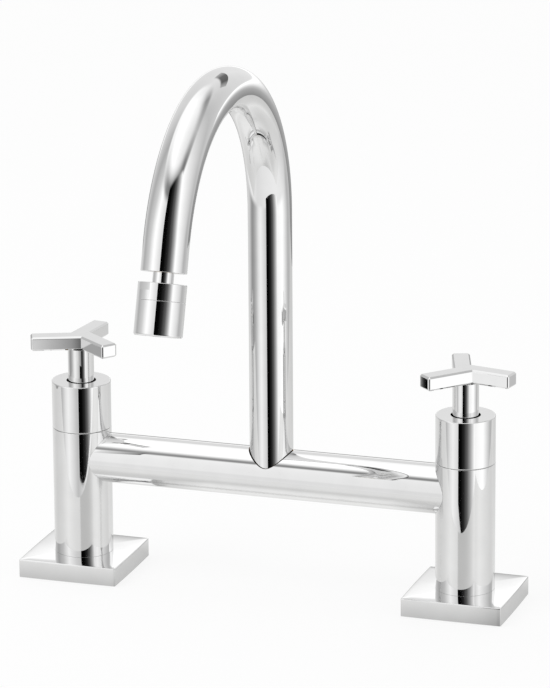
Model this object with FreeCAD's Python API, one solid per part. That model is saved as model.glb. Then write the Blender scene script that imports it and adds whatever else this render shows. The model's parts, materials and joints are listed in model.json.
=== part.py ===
import FreeCAD, Part

import math
import os

# Two-hole bridge mixer for a kitchen sink: two pillars on square plates, joined by a
# horizontal bridge that carries a swivelling gooseneck spout with a ball-jointed
# aerator, and a three-armed quarter-turn handle on each pillar.
# Millimetres. The origin is on the deck, midway between the two inlets: +X runs along
# the bridge to the right, -Y points to the front, where the spout rests, and +Z is up.

V = FreeCAD.Vector
X_AXIS = V(1, 0, 0)
Y_AXIS = V(0, 1, 0)
Z_AXIS = V(0, 0, 1)

# Clearances
STATIC_GAP = 0.05        # between two fixed faces that seat or screw together
RUNNING_GAP = 0.05       # radial or axial play of a shaft, disc or ball
SEAL_GAP = 0.02          # between a seal ring and the floor of its groove
GROOVE_PLAY = 0.2        # how much wider a groove is than its seal ring
OVERRUN = 1.0            # how far a cutting tool passes a face
SAME = 1e-6              # two lengths closer than this are equal

# Layout
INLET_SPACING = 203.2    # between the two inlets, eight inches
PLATE_SIDE = 52.4
PLATE_THICKNESS = 9.6
PLATE_EDGE_RADIUS = 0.6
PILLAR_DIA = 30.0
PILLAR_HEIGHT = 65.9     # from the plate to the seam
SEAM_WIDTH = 0.15
SEAM_CHAMFER = 0.25
SLEEVE_HEIGHT = 24.5     # from the seam to the top of the sleeve
SLEEVE_EDGE_RADIUS = 0.5
BRIDGE_DIA = 25.4
BRIDGE_DROP = 2.8        # from the seam down to the top of the bridge

# Inlets and deck seal
INLET_BORE_DIA = 18.631  # minor diameter of a G 1/2 thread
INLET_DEPTH = 14.0
INLET_CHAMFER = 0.4
SPIGOT_WALL = 3.2        # round the inlet, through the plate
SPIGOT_GAP = 0.2
PLATE_SEAL_WIDTH = 3.8
PLATE_SEAL_HEIGHT = 1.7
PLATE_SEAL_INSET = 2.6   # metal between the plate's bore and its seal groove

# Pillar waterway and valve chamber
WATERWAY_DIA = 12.0
CHAMBER_GAP = 0.8        # water space round the headwork's barrel
THREAD_RUNOUT = 1.0      # below the headwork's thread
COLLAR_RING_SECTION = 1.5
COLLAR_RING_GROOVE = 1.7

# Headwork, the quarter-turn valve that screws into the pillar
THREAD_DIA = 22.0
BARREL_DIA = 18.8
BARREL_WALL = 1.6
BARREL_LENGTH = 25.85    # below the seam
THREAD_LENGTH = 9.5      # below the seam
COLLAR_HEIGHT = 6.5
COLLAR_GAP = 0.1         # round the collar, inside the sleeve
HEX_FLATS = 19.0
HEX_HEIGHT = 5.0
NECK_DIA = 14.0
NECK_LENGTH = 5.0
WINDOW_WIDTH = 9.0
WINDOW_HEIGHT = 6.0
WINDOW_DROP = 1.5        # from the chamber's roof to the windows
SEAT_SEAL_HEIGHT = 2.55
SEAT_SEAL_DIA = 18.0
SEAT_SEAL_BORE = 12.4

# Ceramic discs
DISC_THICKNESS = 3.0
DISC_PORT_INNER = 2.6
DISC_PORT_OUTER = 6.0
DISC_PORT_ANGLE = 76.0
FIXED_DISC_GAP = 0.1
MOVING_DISC_GAP = 0.4
DISC_LUG_WIDTH = 2.0
DISC_LUG_HEIGHT = 1.5
DISC_LUG_REACH = 1.4     # past the disc's rim

# Spindle
SPINDLE_DIA = 9.4
SPINDLE_FLANGE = 2.0
FORK_ANGLE = 30.0
FORK_WALL = 1.7
FORK_DEPTH = 1.15        # into the notches of the moving disc
FORK_SIDE_DEG = 1.0      # play of the fork in its notch, each side
SPLINE_TEETH = 20
SPLINE_DIA = 8.0
SPLINE_TOOTH = 0.45
SPLINE_LENGTH = 13.0
SPINDLE_RING_SECTION = 1.1
SPINDLE_RING_LOW = 7.0   # above the chamber's roof
SPINDLE_RING_PITCH = 10.0
CLIP_HEIGHT = 0.8
CLIP_WIDTH = 2.1
CLIP_MOUTH_DEG = 60.0

# Sleeve over the headwork
SLEEVE_WALL = 2.0
SLEEVE_ROOF = 3.0
SLEEVE_HOLE_GAP = 0.9    # the dark ring round the handle's stem

# Handles
STEM_DIA = 13.2
STEM_RISE = 17.2         # from the top of the sleeve to the underside of the arms
STEM_BOTTOM_GAP = 0.3    # above the spindle's clip
STEM_SPIGOT_DIA = 8.0
STEM_SPIGOT_HEIGHT = 4.0
CROSS_HEIGHT = 7.2
ARM_WIDTH = 9.0
ARM_REACH = 25.3
ARM_OFFSET = 1.5         # each arm stands to the left of the axis
ARM_COUNT = 3
ARM_EDGE_RADIUS = 0.9
LEFT_HANDLE_DEG = 82.0   # where the first arm rests, from +X
RIGHT_HANDLE_DEG = 108.5
GRUB_DIA = 4.0
GRUB_HEIGHT = 3.5        # above the top of the sleeve
GRUB_INSET = 0.2         # below the stem's surface
HEX_KEY = 2.0
HEX_KEY_DEPTH = 1.2

# Bridge
BRIDGE_WALL = 3.7
BRIDGE_WEB = 32.0        # solid length at the middle
PASSAGE_DIA = 8.0
SOCKET_DEPTH = 10.1      # below the seat of the spout
SOCKET_FLOOR = 4.3       # metal left below the socket
SPOUT_SEAT_GAP = 0.25    # the dark line round the foot of the spout

# Nipples that join the bridge to the pillars
NIPPLE_SETBACK = 0.35    # from the headwork's thread
NIPPLE_STEP_GAP = 0.3    # from the pillar to the wider end
NIPPLE_REACH = 12.0      # past the pillar's surface
NIPPLE_NECK_DIA = 17.0
NIPPLE_WALL = 2.3
NIPPLE_RING_SECTION = 1.36
NIPPLE_RING_PLACE = 6.0  # past the pillar's surface

# Spout
SPOUT_DIA = 22.0
SPOUT_WALL = 1.5
SPOUT_RISER_TOP = 196.5
SPOUT_ARC_RADIUS = 79.0
SPOUT_END_DEG = 18.0     # how far the end still leans out from straight down
SPOUT_END_LENGTH = 14.0
SPOUT_END_EDGE = 0.4

# Post that the spout turns on
POST_DIA = 16.0
POST_WALL = 2.5
POST_FLANGE_HEIGHT = 1.25
POST_HEIGHT = 32.3       # above the seat of the spout
POST_FLOOR = 1.4
POST_RING_SECTION = 1.36
POST_RING_LOW = 7.8      # above the seat
POST_RING_HIGH = 25.3
SLIP_WASHER_HEIGHT = 0.95
WASHER_INSET = 0.1       # the washer and the post's flange, inside the spout's surface
LOCK_SCREW_DIA = 3.0
LOCK_SCREW_KEY = 1.5
LOCK_SCREW_HEIGHT = 16.3  # above the seat
LOCK_SCREW_TIP = 0.4     # how far its tip stands inside the bush
LOCK_GROOVE_DEPTH = 1.0
LOCK_GROOVE_SIDE = 0.1   # play beside the screw

# Outlet of the spout and the ball that the aerator tilts on
PLUG_LENGTH = 12.0
BALL_DIA = 16.0
BALL_DROP = 11.3         # from the spout's end to the middle of the ball
BALL_FLAT = 6.6          # from the middle of the ball to its cut face
BALL_BORE = 5.6
BALL_NECK_DIA = 10.0
SHANK_DIA = 8.8
SHANK_LENGTH = 9.0
SHANK_RING_SECTION = 0.9
SHANK_RING_PLACE = 4.7   # above the spout's end
LINER_THICKNESS = 0.7
LINER_LOW = 0.4          # heights above the middle of the ball
LINER_HIGH = 3.6
WASHER_LOW = 6.4         # depths below the middle of the ball
WASHER_HIGH = 3.2

# Aerator head
HEAD_DIA = 23.2
HEAD_TOP = 6.2           # heights and depths from the middle of the ball
HEAD_SEAM = 2.1
HEAD_BOTTOM = 18.9
HEAD_SEAM_GAP = 0.1
HEAD_HOLE_DIA = 16.0
HEAD_HOLE_FLARE = 0.6
HEAD_EDGE = 0.35
HEAD_BOTTOM_RADIUS = 1.0
HEAD_FLAT_WIDTH = 6.5
HEAD_FLAT_HEIGHT = 3.7
HEAD_FLAT_DEG = 242.0
RING_SKIRT_DEPTH = 7.0
RING_SKIRT_WALL = 1.4
HOUSING_BORE = 19.8
HOUSING_LIP_HEIGHT = 0.6
HOUSING_LIP_WIDTH = 1.0
SEAT_RING_BOTTOM = 12.4
SEAT_RING_TOP = 3.6
SEAT_RECESS_DIA = 13.2   # over the flow disc's holes
SEAT_RECESS_DEPTH = 1.4
GASKET_HEIGHT = 1.5
GASKET_WIDTH = 2.4
REGULATOR_HOLES = 12
REGULATOR_HOLE_DIA = 1.2
REGULATOR_HOLE_RING = 11.0
INSERT_WALL = 1.2
GRID_THICKNESS = 1.5
GRID_HOLE_DIA = 1.5
GRID_PITCH = 2.1
GRID_RINGS = 3

# Worked out from the sizes above
SEAM_Z = PLATE_THICKNESS + PILLAR_HEIGHT
SLEEVE_TOP_Z = SEAM_Z + SLEEVE_HEIGHT
CROSS_Z = SLEEVE_TOP_Z + STEM_RISE
BRIDGE_Z = SEAM_Z - BRIDGE_DROP - BRIDGE_DIA / 2
BARREL_Z = SEAM_Z - BARREL_LENGTH
SEAT_Z = BARREL_Z - STATIC_GAP - SEAT_SEAL_HEIGHT
COLLAR_TOP_Z = SEAM_Z + COLLAR_HEIGHT
HEX_TOP_Z = COLLAR_TOP_Z + HEX_HEIGHT
NECK_TOP_Z = HEX_TOP_Z + NECK_LENGTH
CHAMBER_RADIUS = BARREL_DIA / 2 - BARREL_WALL
FIXED_DISC_Z = BARREL_Z
MOVING_DISC_Z = FIXED_DISC_Z + DISC_THICKNESS + RUNNING_GAP
DISC_TOP_Z = MOVING_DISC_Z + DISC_THICKNESS
WINDOW_Z = DISC_TOP_Z + RUNNING_GAP
ROOF_Z = WINDOW_Z + WINDOW_HEIGHT + WINDOW_DROP + RUNNING_GAP
CLIP_Z = NECK_TOP_Z + 2 * RUNNING_GAP
STEM_Z = CLIP_Z + CLIP_HEIGHT + STEM_BOTTOM_GAP
SPLINE_TOP_Z = CLIP_Z + CLIP_HEIGHT + SPLINE_LENGTH
SOCKET_Z = BRIDGE_Z - BRIDGE_DIA / 2 + SOCKET_FLOOR
SPOUT_SEAT_Z = SOCKET_Z + SOCKET_DEPTH
PASSAGE_Z = SOCKET_Z + POST_FLOOR + PASSAGE_DIA / 2
SLIP_WASHER_Z = SPOUT_SEAT_Z + POST_FLANGE_HEIGHT + RUNNING_GAP
SPOUT_FOOT_Z = SLIP_WASHER_Z + SLIP_WASHER_HEIGHT + RUNNING_GAP
POST_TOP_Z = SPOUT_SEAT_Z + POST_HEIGHT
LOCK_SCREW_Z = SPOUT_SEAT_Z + LOCK_SCREW_HEIGHT
SPOUT_BORE_RADIUS = SPOUT_DIA / 2 - SPOUT_WALL


def cylinder(radius, low, high):
    """A cylinder on the Z axis."""
    return Part.makeCylinder(radius, high - low, V(0, 0, low))


def tube(outer, inner, low, high):
    """A tube on the Z axis."""
    return cylinder(outer, low, high).cut(cylinder(inner, low - OVERRUN, high + OVERRUN))


def lathe(profile):
    """A turned solid: a closed outline of (radius, height) points turned about Z."""
    corners = [V(radius, 0, height) for radius, height in profile]
    face = Part.Face(Part.makePolygon(corners + corners[:1]))
    return face.revolve(V(0, 0, 0), Z_AXIS, 360)


def sector(outer, inner, low, high, middle_deg, angle_deg):
    """A piece of a tube, angle_deg wide, centred on the direction middle_deg."""
    wedge = Part.makeCylinder(outer, high - low, V(0, 0, low), Z_AXIS, angle_deg)
    wedge = wedge.cut(cylinder(inner, low - OVERRUN, high + OVERRUN))
    wedge.rotate(V(0, 0, 0), Z_AXIS, middle_deg - angle_deg / 2)
    return wedge


def ring(middle_radius, section, height):
    """A round seal ring on the Z axis."""
    return Part.makeTorus(middle_radius, section / 2, V(0, 0, height))


def polygon_prism(points, low, high):
    """An upright prism on a closed outline of (x, y) points."""
    corners = [V(x, y, low) for x, y in points]
    face = Part.Face(Part.makePolygon(corners + corners[:1]))
    return face.extrude(V(0, 0, high - low))


def hexagon(flats, low, high):
    """A hexagonal prism with the given width across its flats."""
    radius = flats / math.sqrt(3)
    corner_angles = [math.radians(60 * k) for k in range(6)]
    points = [(radius * math.cos(a), radius * math.sin(a)) for a in corner_angles]
    return polygon_prism(points, low, high)


def spline(tip_radius, low, high):
    """A toothed shaft: its outline steps between the tips and roots of the teeth."""
    points = []
    for k in range(2 * SPLINE_TEETH):
        angle = math.pi * k / SPLINE_TEETH
        radius = tip_radius - (k % 2) * SPLINE_TOOTH
        points.append((radius * math.cos(angle), radius * math.sin(angle)))
    return polygon_prism(points, low, high)


def sphere_zone(outer, inner, low, high):
    """The part of a hollow ball between two heights."""
    shell = Part.makeSphere(outer).cut(Part.makeSphere(inner))
    return shell.common(cylinder(outer + OVERRUN, low, high))


def grooved(radius, grooves):
    """The outer side of a shaft, upwards: (floor radius, middle, width) per groove."""
    points = []
    for floor, middle, width in grooves:
        low, high = middle - width / 2, middle + width / 2
        points += [(radius, low), (floor, low), (floor, high), (radius, high)]
    return points


def along_x(shape, height):
    """Turns a shape made on the Z axis so that it lies along X at a height."""
    shape.rotate(V(0, 0, 0), Y_AXIS, 90)
    shape.translate(V(0, 0, height))
    return shape


def along_y(shape, height):
    """Turns a shape made on the Z axis so that it points to the back at a height."""
    shape.rotate(V(0, 0, 0), X_AXIS, -90)
    shape.translate(V(0, 0, height))
    return shape


# ---------------------------------------------------------------- pillars

def spigot_radius():
    return INLET_BORE_DIA / 2 + SPIGOT_WALL


def plate_seal_radius():
    return spigot_radius() + SPIGOT_GAP + PLATE_SEAL_INSET


def base_plate():
    """The square plate round the pillar's foot, with a groove for its deck seal."""
    half = PLATE_SIDE / 2
    plate = Part.makeBox(PLATE_SIDE, PLATE_SIDE, PLATE_THICKNESS, V(-half, -half, 0))
    shown = [edge for edge in plate.Edges if edge.CenterOfMass.z > SAME]
    plate = plate.makeFillet(PLATE_EDGE_RADIUS, shown)
    bore = cylinder(spigot_radius() + SPIGOT_GAP, -OVERRUN, PLATE_THICKNESS + OVERRUN)
    inner = plate_seal_radius()
    groove = tube(inner + PLATE_SEAL_WIDTH, inner, -OVERRUN, PLATE_SEAL_HEIGHT + 2 * STATIC_GAP)
    return plate.cut(bore).cut(groove)


def plate_seal():
    """The rubber ring in the underside of the plate."""
    inner = plate_seal_radius() + STATIC_GAP
    outer = inner + PLATE_SEAL_WIDTH - 2 * STATIC_GAP
    return tube(outer, inner, STATIC_GAP, STATIC_GAP + PLATE_SEAL_HEIGHT)


def collar_groove_radius():
    return THREAD_DIA / 2 + COLLAR_RING_GROOVE


def pillar():
    """The turned brass pillar: inlet below, valve chamber above, port to the bridge."""
    outer = PILLAR_DIA / 2
    chamber = BARREL_DIA / 2 + CHAMBER_GAP
    thread = THREAD_DIA / 2 + STATIC_GAP
    thread_z = SEAM_Z - THREAD_LENGTH - THREAD_RUNOUT
    groove_z = SEAM_Z - COLLAR_RING_GROOVE
    body = lathe([
        (INLET_BORE_DIA / 2 + INLET_CHAMFER, 0),
        (spigot_radius(), 0),
        (spigot_radius(), PLATE_THICKNESS),
        (outer, PLATE_THICKNESS),
        (outer, SEAM_Z - SEAM_CHAMFER),
        (outer - SEAM_CHAMFER, SEAM_Z),
        (collar_groove_radius(), SEAM_Z),
        (collar_groove_radius(), groove_z),
        (thread, groove_z),
        (thread, thread_z),
        (chamber, thread_z),
        (chamber, SEAT_Z),
        (WATERWAY_DIA / 2, SEAT_Z),
        (WATERWAY_DIA / 2, INLET_DEPTH),
        (INLET_BORE_DIA / 2, INLET_DEPTH),
        (INLET_BORE_DIA / 2, INLET_CHAMFER),
    ])
    port = cylinder(NIPPLE_NECK_DIA / 2 + STATIC_GAP, 0, outer + OVERRUN)
    return body.cut(along_x(port, BRIDGE_Z))


def seat_seal():
    """The rubber seat that the headwork presses on."""
    low = SEAT_Z + SEAL_GAP
    return tube(SEAT_SEAL_DIA / 2, SEAT_SEAL_BORE / 2, low, low + SEAT_SEAL_HEIGHT)


def collar_radius():
    return PILLAR_DIA / 2 - SLEEVE_WALL - COLLAR_GAP


def headwork():
    """The valve's brass housing: slotted barrel, thread, collar, hexagon and neck."""
    bore = SPINDLE_DIA / 2 + RUNNING_GAP
    thread_z = SEAM_Z - THREAD_LENGTH
    seat_z = SEAM_Z + STATIC_GAP
    body = lathe([
        (CHAMBER_RADIUS, BARREL_Z),
        (BARREL_DIA / 2, BARREL_Z),
        (BARREL_DIA / 2, thread_z),
        (THREAD_DIA / 2, thread_z),
        (THREAD_DIA / 2, seat_z),
        (collar_radius(), seat_z),
        (collar_radius(), COLLAR_TOP_Z),
        (NECK_DIA / 2, COLLAR_TOP_Z),
        (NECK_DIA / 2, NECK_TOP_Z),
        (bore, NECK_TOP_Z),
        (bore, ROOF_Z),
        (CHAMBER_RADIUS, ROOF_Z),
    ])
    nut = hexagon(HEX_FLATS, COLLAR_TOP_Z, HEX_TOP_Z)
    body = body.fuse(nut.cut(cylinder(bore, COLLAR_TOP_Z, HEX_TOP_Z)))
    windows = Part.makeBox(2 * BARREL_DIA, WINDOW_WIDTH, WINDOW_HEIGHT,
                           V(-BARREL_DIA, -WINDOW_WIDTH / 2, WINDOW_Z))
    body = body.cut(windows)
    slot = DISC_LUG_WIDTH + 2 * FIXED_DISC_GAP
    slots = Part.makeBox(2 * BARREL_DIA, slot, DISC_LUG_HEIGHT + FIXED_DISC_GAP,
                         V(-BARREL_DIA, -slot / 2, BARREL_Z))
    return body.cut(slots)


def collar_ring():
    """The seal ring under the headwork's collar."""
    outer = collar_groove_radius() - STATIC_GAP
    middle_z = SEAM_Z - COLLAR_RING_GROOVE / 2
    return ring(outer - COLLAR_RING_SECTION / 2, COLLAR_RING_SECTION, middle_z)


def disc_ports(low, high, first_deg):
    """The two openings of a ceramic disc, opposite each other."""
    cuts = [
        sector(DISC_PORT_OUTER, DISC_PORT_INNER, low, high, first_deg + 180 * k, DISC_PORT_ANGLE)
        for k in range(2)
    ]
    return Part.makeCompound(cuts)


def fixed_disc():
    """The lower ceramic disc, kept from turning by two lugs in the barrel's slots."""
    low = FIXED_DISC_Z + SEAL_GAP
    high = FIXED_DISC_Z + DISC_THICKNESS
    radius = CHAMBER_RADIUS - FIXED_DISC_GAP
    disc = cylinder(radius, low, high)
    reach = radius + DISC_LUG_REACH
    lugs = Part.makeBox(2 * reach, DISC_LUG_WIDTH, DISC_LUG_HEIGHT - SEAL_GAP,
                        V(-reach, -DISC_LUG_WIDTH / 2, low))
    disc = disc.fuse(lugs).removeSplitter()
    return disc.cut(disc_ports(low - OVERRUN, high + OVERRUN, 90))


def moving_disc():
    """The upper ceramic disc, closed at rest, with notches for the spindle's fork."""
    radius = CHAMBER_RADIUS - MOVING_DISC_GAP
    disc = cylinder(radius, MOVING_DISC_Z, DISC_TOP_Z)
    disc = disc.cut(disc_ports(MOVING_DISC_Z - OVERRUN, DISC_TOP_Z + OVERRUN, 0))
    floor = DISC_TOP_Z - FORK_DEPTH - RUNNING_GAP
    for middle_deg in (90, 270):
        notch = sector(radius + OVERRUN, radius - FORK_WALL - RUNNING_GAP, floor,
                       DISC_TOP_Z + OVERRUN, middle_deg, FORK_ANGLE + 2 * FORK_SIDE_DEG)
        disc = disc.cut(notch)
    return disc


def spindle_groove_radius():
    return SPINDLE_DIA / 2 - SPINDLE_RING_SECTION - SEAL_GAP


def spindle_ring_heights():
    return [ROOF_Z + SPINDLE_RING_LOW, ROOF_Z + SPINDLE_RING_LOW + SPINDLE_RING_PITCH]


def spindle():
    """The brass spindle: fork on the moving disc, sealed shaft, splined end."""
    shaft = SPINDLE_DIA / 2
    flange = CHAMBER_RADIUS - MOVING_DISC_GAP
    flange_top = ROOF_Z - RUNNING_GAP
    flange_z = flange_top - SPINDLE_FLANGE
    grooves = [
        (spindle_groove_radius(), height, SPINDLE_RING_SECTION + GROOVE_PLAY)
        for height in spindle_ring_heights()
    ]
    body = lathe(
        [(0, flange_z), (flange, flange_z), (flange, flange_top), (shaft, flange_top)]
        + grooved(shaft, grooves)
        + [(shaft, CLIP_Z - STATIC_GAP), (0, CLIP_Z - STATIC_GAP)]
    )
    teeth = spline(SPLINE_DIA / 2, CLIP_Z - STATIC_GAP, SPLINE_TOP_Z)
    body = body.fuse(teeth)
    for middle_deg in (90, 270):
        leg = sector(flange, flange - FORK_WALL, DISC_TOP_Z - FORK_DEPTH,
                     flange_z + OVERRUN, middle_deg, FORK_ANGLE)
        body = body.fuse(leg)
    return body.removeSplitter()


def spindle_rings():
    """The two seal rings of the spindle."""
    middle = SPINDLE_DIA / 2 - SPINDLE_RING_SECTION / 2
    rings = [ring(middle, SPINDLE_RING_SECTION, height) for height in spindle_ring_heights()]
    return Part.makeCompound(rings)


def spindle_clip():
    """The open spring clip that keeps the spindle from dropping into the housing."""
    inner = SPLINE_DIA / 2 + STATIC_GAP
    return sector(inner + CLIP_WIDTH, inner, CLIP_Z, CLIP_Z + CLIP_HEIGHT,
                  270, 360 - CLIP_MOUTH_DEG)


def pillar_sleeve():
    """The plain sleeve that hides the headwork, open round the handle's stem."""
    outer = PILLAR_DIA / 2
    inner = outer - SLEEVE_WALL
    hole = STEM_DIA / 2 + SLEEVE_HOLE_GAP
    low = SEAM_Z + SEAM_WIDTH
    roof = SLEEVE_TOP_Z - SLEEVE_ROOF
    sleeve = lathe([
        (inner, low),
        (outer - SEAM_CHAMFER, low),
        (outer, low + SEAM_CHAMFER),
        (outer, SLEEVE_TOP_Z),
        (hole, SLEEVE_TOP_Z),
        (hole, roof),
        (inner, roof),
    ])
    rim = [edge for edge in sleeve.Edges if is_ring_edge(edge, outer, SLEEVE_TOP_Z)]
    return sleeve.makeFillet(SLEEVE_EDGE_RADIUS, rim)


def is_ring_edge(edge, radius, height):
    """Whether an edge is the circle of this radius at this height."""
    curve = edge.Curve
    if not isinstance(curve, Part.Circle):
        return False
    return abs(curve.Radius - radius) < SAME and abs(curve.Center.z - height) < SAME


# ---------------------------------------------------------------- handles

def handle_stem():
    """The round stem under the arms: splined socket below, spigot above."""
    outer = STEM_DIA / 2
    spigot = STEM_SPIGOT_DIA / 2
    body = lathe([
        (0, STEM_Z),
        (outer - SEAM_CHAMFER, STEM_Z),
        (outer, STEM_Z + SEAM_CHAMFER),
        (outer, CROSS_Z - STATIC_GAP),
        (spigot, CROSS_Z - STATIC_GAP),
        (spigot, CROSS_Z + STEM_SPIGOT_HEIGHT),
        (0, CROSS_Z + STEM_SPIGOT_HEIGHT),
    ])
    socket = spline(SPLINE_DIA / 2 + STATIC_GAP, STEM_Z - OVERRUN, SPLINE_TOP_Z + STATIC_GAP)
    hole = cylinder(GRUB_DIA / 2 + STATIC_GAP, 0, outer + OVERRUN)
    return body.cut(socket).cut(along_y(hole, SLEEVE_TOP_Z + GRUB_HEIGHT))


def handle_screw():
    """The grub screw at the back of the stem, pressed on the spindle."""
    tip = SPLINE_DIA / 2 + 2 * STATIC_GAP
    end = STEM_DIA / 2 - GRUB_INSET
    screw = cylinder(GRUB_DIA / 2, tip, end)
    screw = screw.cut(hexagon(HEX_KEY, end - HEX_KEY_DEPTH, end + OVERRUN))
    return along_y(screw, SLEEVE_TOP_Z + GRUB_HEIGHT)


def arm_line(k, side):
    """A point and a direction on one side of arm k, side being -1 or 1."""
    angle = math.radians(360 * k / ARM_COUNT)
    along = V(math.cos(angle), math.sin(angle), 0)
    across = V(-math.sin(angle), math.cos(angle), 0)
    return across * (ARM_OFFSET + side * ARM_WIDTH / 2), along


def meeting_point(first, second):
    """Where two lines in the plane cross, each given as a point and a direction."""
    (p, d), (q, e) = first, second
    reach = ((q.x - p.x) * e.y - (q.y - p.y) * e.x) / (d.x * e.y - d.y * e.x)
    return p + d * reach


def handle_cross():
    """Three square bars round the stem, each standing a little beside the axis."""
    corners = []
    for k in range(ARM_COUNT):
        for side in (-1, 1):
            start, along = arm_line(k, side)
            corners.append(start + along * ARM_REACH)
        corners.append(meeting_point(arm_line(k, 1), arm_line(k + 1, -1)))
    cross = polygon_prism([(p.x, p.y) for p in corners], CROSS_Z, CROSS_Z + CROSS_HEIGHT)
    nearer = ARM_REACH / 2
    rounded = []
    for edge in cross.Edges:
        middle = edge.CenterOfMass
        upright = abs(middle.z - CROSS_Z - CROSS_HEIGHT / 2) < SAME
        if not upright or math.hypot(middle.x, middle.y) > nearer:
            rounded.append(edge)
    cross = cross.makeFillet(ARM_EDGE_RADIUS, rounded)
    hole_top = CROSS_Z + STEM_SPIGOT_HEIGHT + STATIC_GAP
    return cross.cut(cylinder(STEM_SPIGOT_DIA / 2 + STATIC_GAP, CROSS_Z - OVERRUN, hole_top))


# ---------------------------------------------------------------- bridge

def bridge_bore_radius():
    return BRIDGE_DIA / 2 - BRIDGE_WALL


def spout_seat_radius():
    return SPOUT_DIA / 2 + SPOUT_SEAT_GAP


def bridge():
    """The bar between the pillars: bored from both ends, with the spout's socket."""
    half = INLET_SPACING / 2
    bar = along_x(cylinder(BRIDGE_DIA / 2, -half, half), BRIDGE_Z)
    for side in (-1, 1):
        saddle = cylinder(PILLAR_DIA / 2 + STATIC_GAP, 0, SLEEVE_TOP_Z)
        saddle.translate(V(side * half, 0, 0))
        bar = bar.cut(saddle)
        low, high = sorted((side * BRIDGE_WEB / 2, side * (half + OVERRUN)))
        bar = bar.cut(along_x(cylinder(bridge_bore_radius(), low, high), BRIDGE_Z))
    bar = bar.cut(along_x(cylinder(PASSAGE_DIA / 2, -BRIDGE_WEB, BRIDGE_WEB), PASSAGE_Z))
    bar = bar.cut(cylinder(POST_DIA / 2, SOCKET_Z, SPOUT_SEAT_Z + OVERRUN))
    return bar.cut(cylinder(spout_seat_radius(), SPOUT_SEAT_Z, SLEEVE_TOP_Z))


def nipple_end_radius():
    return bridge_bore_radius() - 2 * STATIC_GAP


def nipple_ring_place():
    return PILLAR_DIA / 2 + NIPPLE_RING_PLACE


def bridge_nipple():
    """The tube that joins the bridge to a pillar, from the pillar's axis outwards."""
    bore = NIPPLE_NECK_DIA / 2 - NIPPLE_WALL
    start = THREAD_DIA / 2 + NIPPLE_SETBACK
    step = PILLAR_DIA / 2 + NIPPLE_STEP_GAP
    end = PILLAR_DIA / 2 + NIPPLE_REACH
    end_radius = nipple_end_radius()
    floor = end_radius - NIPPLE_RING_SECTION - SEAL_GAP
    groove = (floor, nipple_ring_place(), NIPPLE_RING_SECTION + GROOVE_PLAY)
    body = lathe(
        [(bore, start), (NIPPLE_NECK_DIA / 2, start), (NIPPLE_NECK_DIA / 2, step)]
        + [(end_radius, step)]
        + grooved(end_radius, [groove])
        + [(end_radius, end), (bore, end)]
    )
    return along_x(body, BRIDGE_Z)


def bridge_ring():
    """The seal ring of a nipple, inside the bridge."""
    middle = nipple_end_radius() - NIPPLE_RING_SECTION / 2
    return along_x(ring(middle, NIPPLE_RING_SECTION, nipple_ring_place()), BRIDGE_Z)


def post_ring_heights():
    return [SPOUT_SEAT_Z + POST_RING_LOW, SPOUT_SEAT_Z + POST_RING_HIGH]


def washer_radius():
    return SPOUT_DIA / 2 - WASHER_INSET


def spout_post():
    """The hollow post screwed into the bridge, which the spout turns on."""
    outer = POST_DIA / 2
    bore = outer - POST_WALL
    flange_z = SPOUT_SEAT_Z + STATIC_GAP
    flange_top = SPOUT_SEAT_Z + POST_FLANGE_HEIGHT
    ring_floor = outer - POST_RING_SECTION - SEAL_GAP
    ring_width = POST_RING_SECTION + GROOVE_PLAY
    lock_width = LOCK_SCREW_DIA + 2 * LOCK_GROOVE_SIDE
    low, high = post_ring_heights()
    grooves = [
        (ring_floor, low, ring_width),
        (outer - LOCK_GROOVE_DEPTH, LOCK_SCREW_Z, lock_width),
        (ring_floor, high, ring_width),
    ]
    body = lathe(
        [
            (0, SOCKET_Z + STATIC_GAP),
            (outer - STATIC_GAP, SOCKET_Z + STATIC_GAP),
            (outer - STATIC_GAP, flange_z),
            (washer_radius(), flange_z),
            (washer_radius(), flange_top),
            (outer, flange_top),
        ]
        + grooved(outer, grooves)
        + [
            (outer, POST_TOP_Z),
            (bore, POST_TOP_Z),
            (bore, SOCKET_Z + POST_FLOOR),
            (0, SOCKET_Z + POST_FLOOR),
        ]
    )
    return body.cut(along_x(cylinder(PASSAGE_DIA / 2, -POST_DIA, POST_DIA), PASSAGE_Z))


def post_rings():
    """The two seal rings between the post and the spout."""
    middle = POST_DIA / 2 - POST_RING_SECTION / 2
    rings = [ring(middle, POST_RING_SECTION, height) for height in post_ring_heights()]
    return Part.makeCompound(rings)


def slip_washer():
    """The plastic washer that the spout's foot slides on."""
    inner = POST_DIA / 2 + STATIC_GAP
    return tube(washer_radius(), inner, SLIP_WASHER_Z, SLIP_WASHER_Z + SLIP_WASHER_HEIGHT)


# ---------------------------------------------------------------- spout

def lock_screw_hole():
    hole = cylinder(LOCK_SCREW_DIA / 2 + STATIC_GAP, 0, SPOUT_DIA)
    return along_y(hole, LOCK_SCREW_Z)


def disc_face(radius):
    """A flat round face round the origin."""
    return Part.Face(Part.Wire(Part.makeCircle(radius)))


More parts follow.
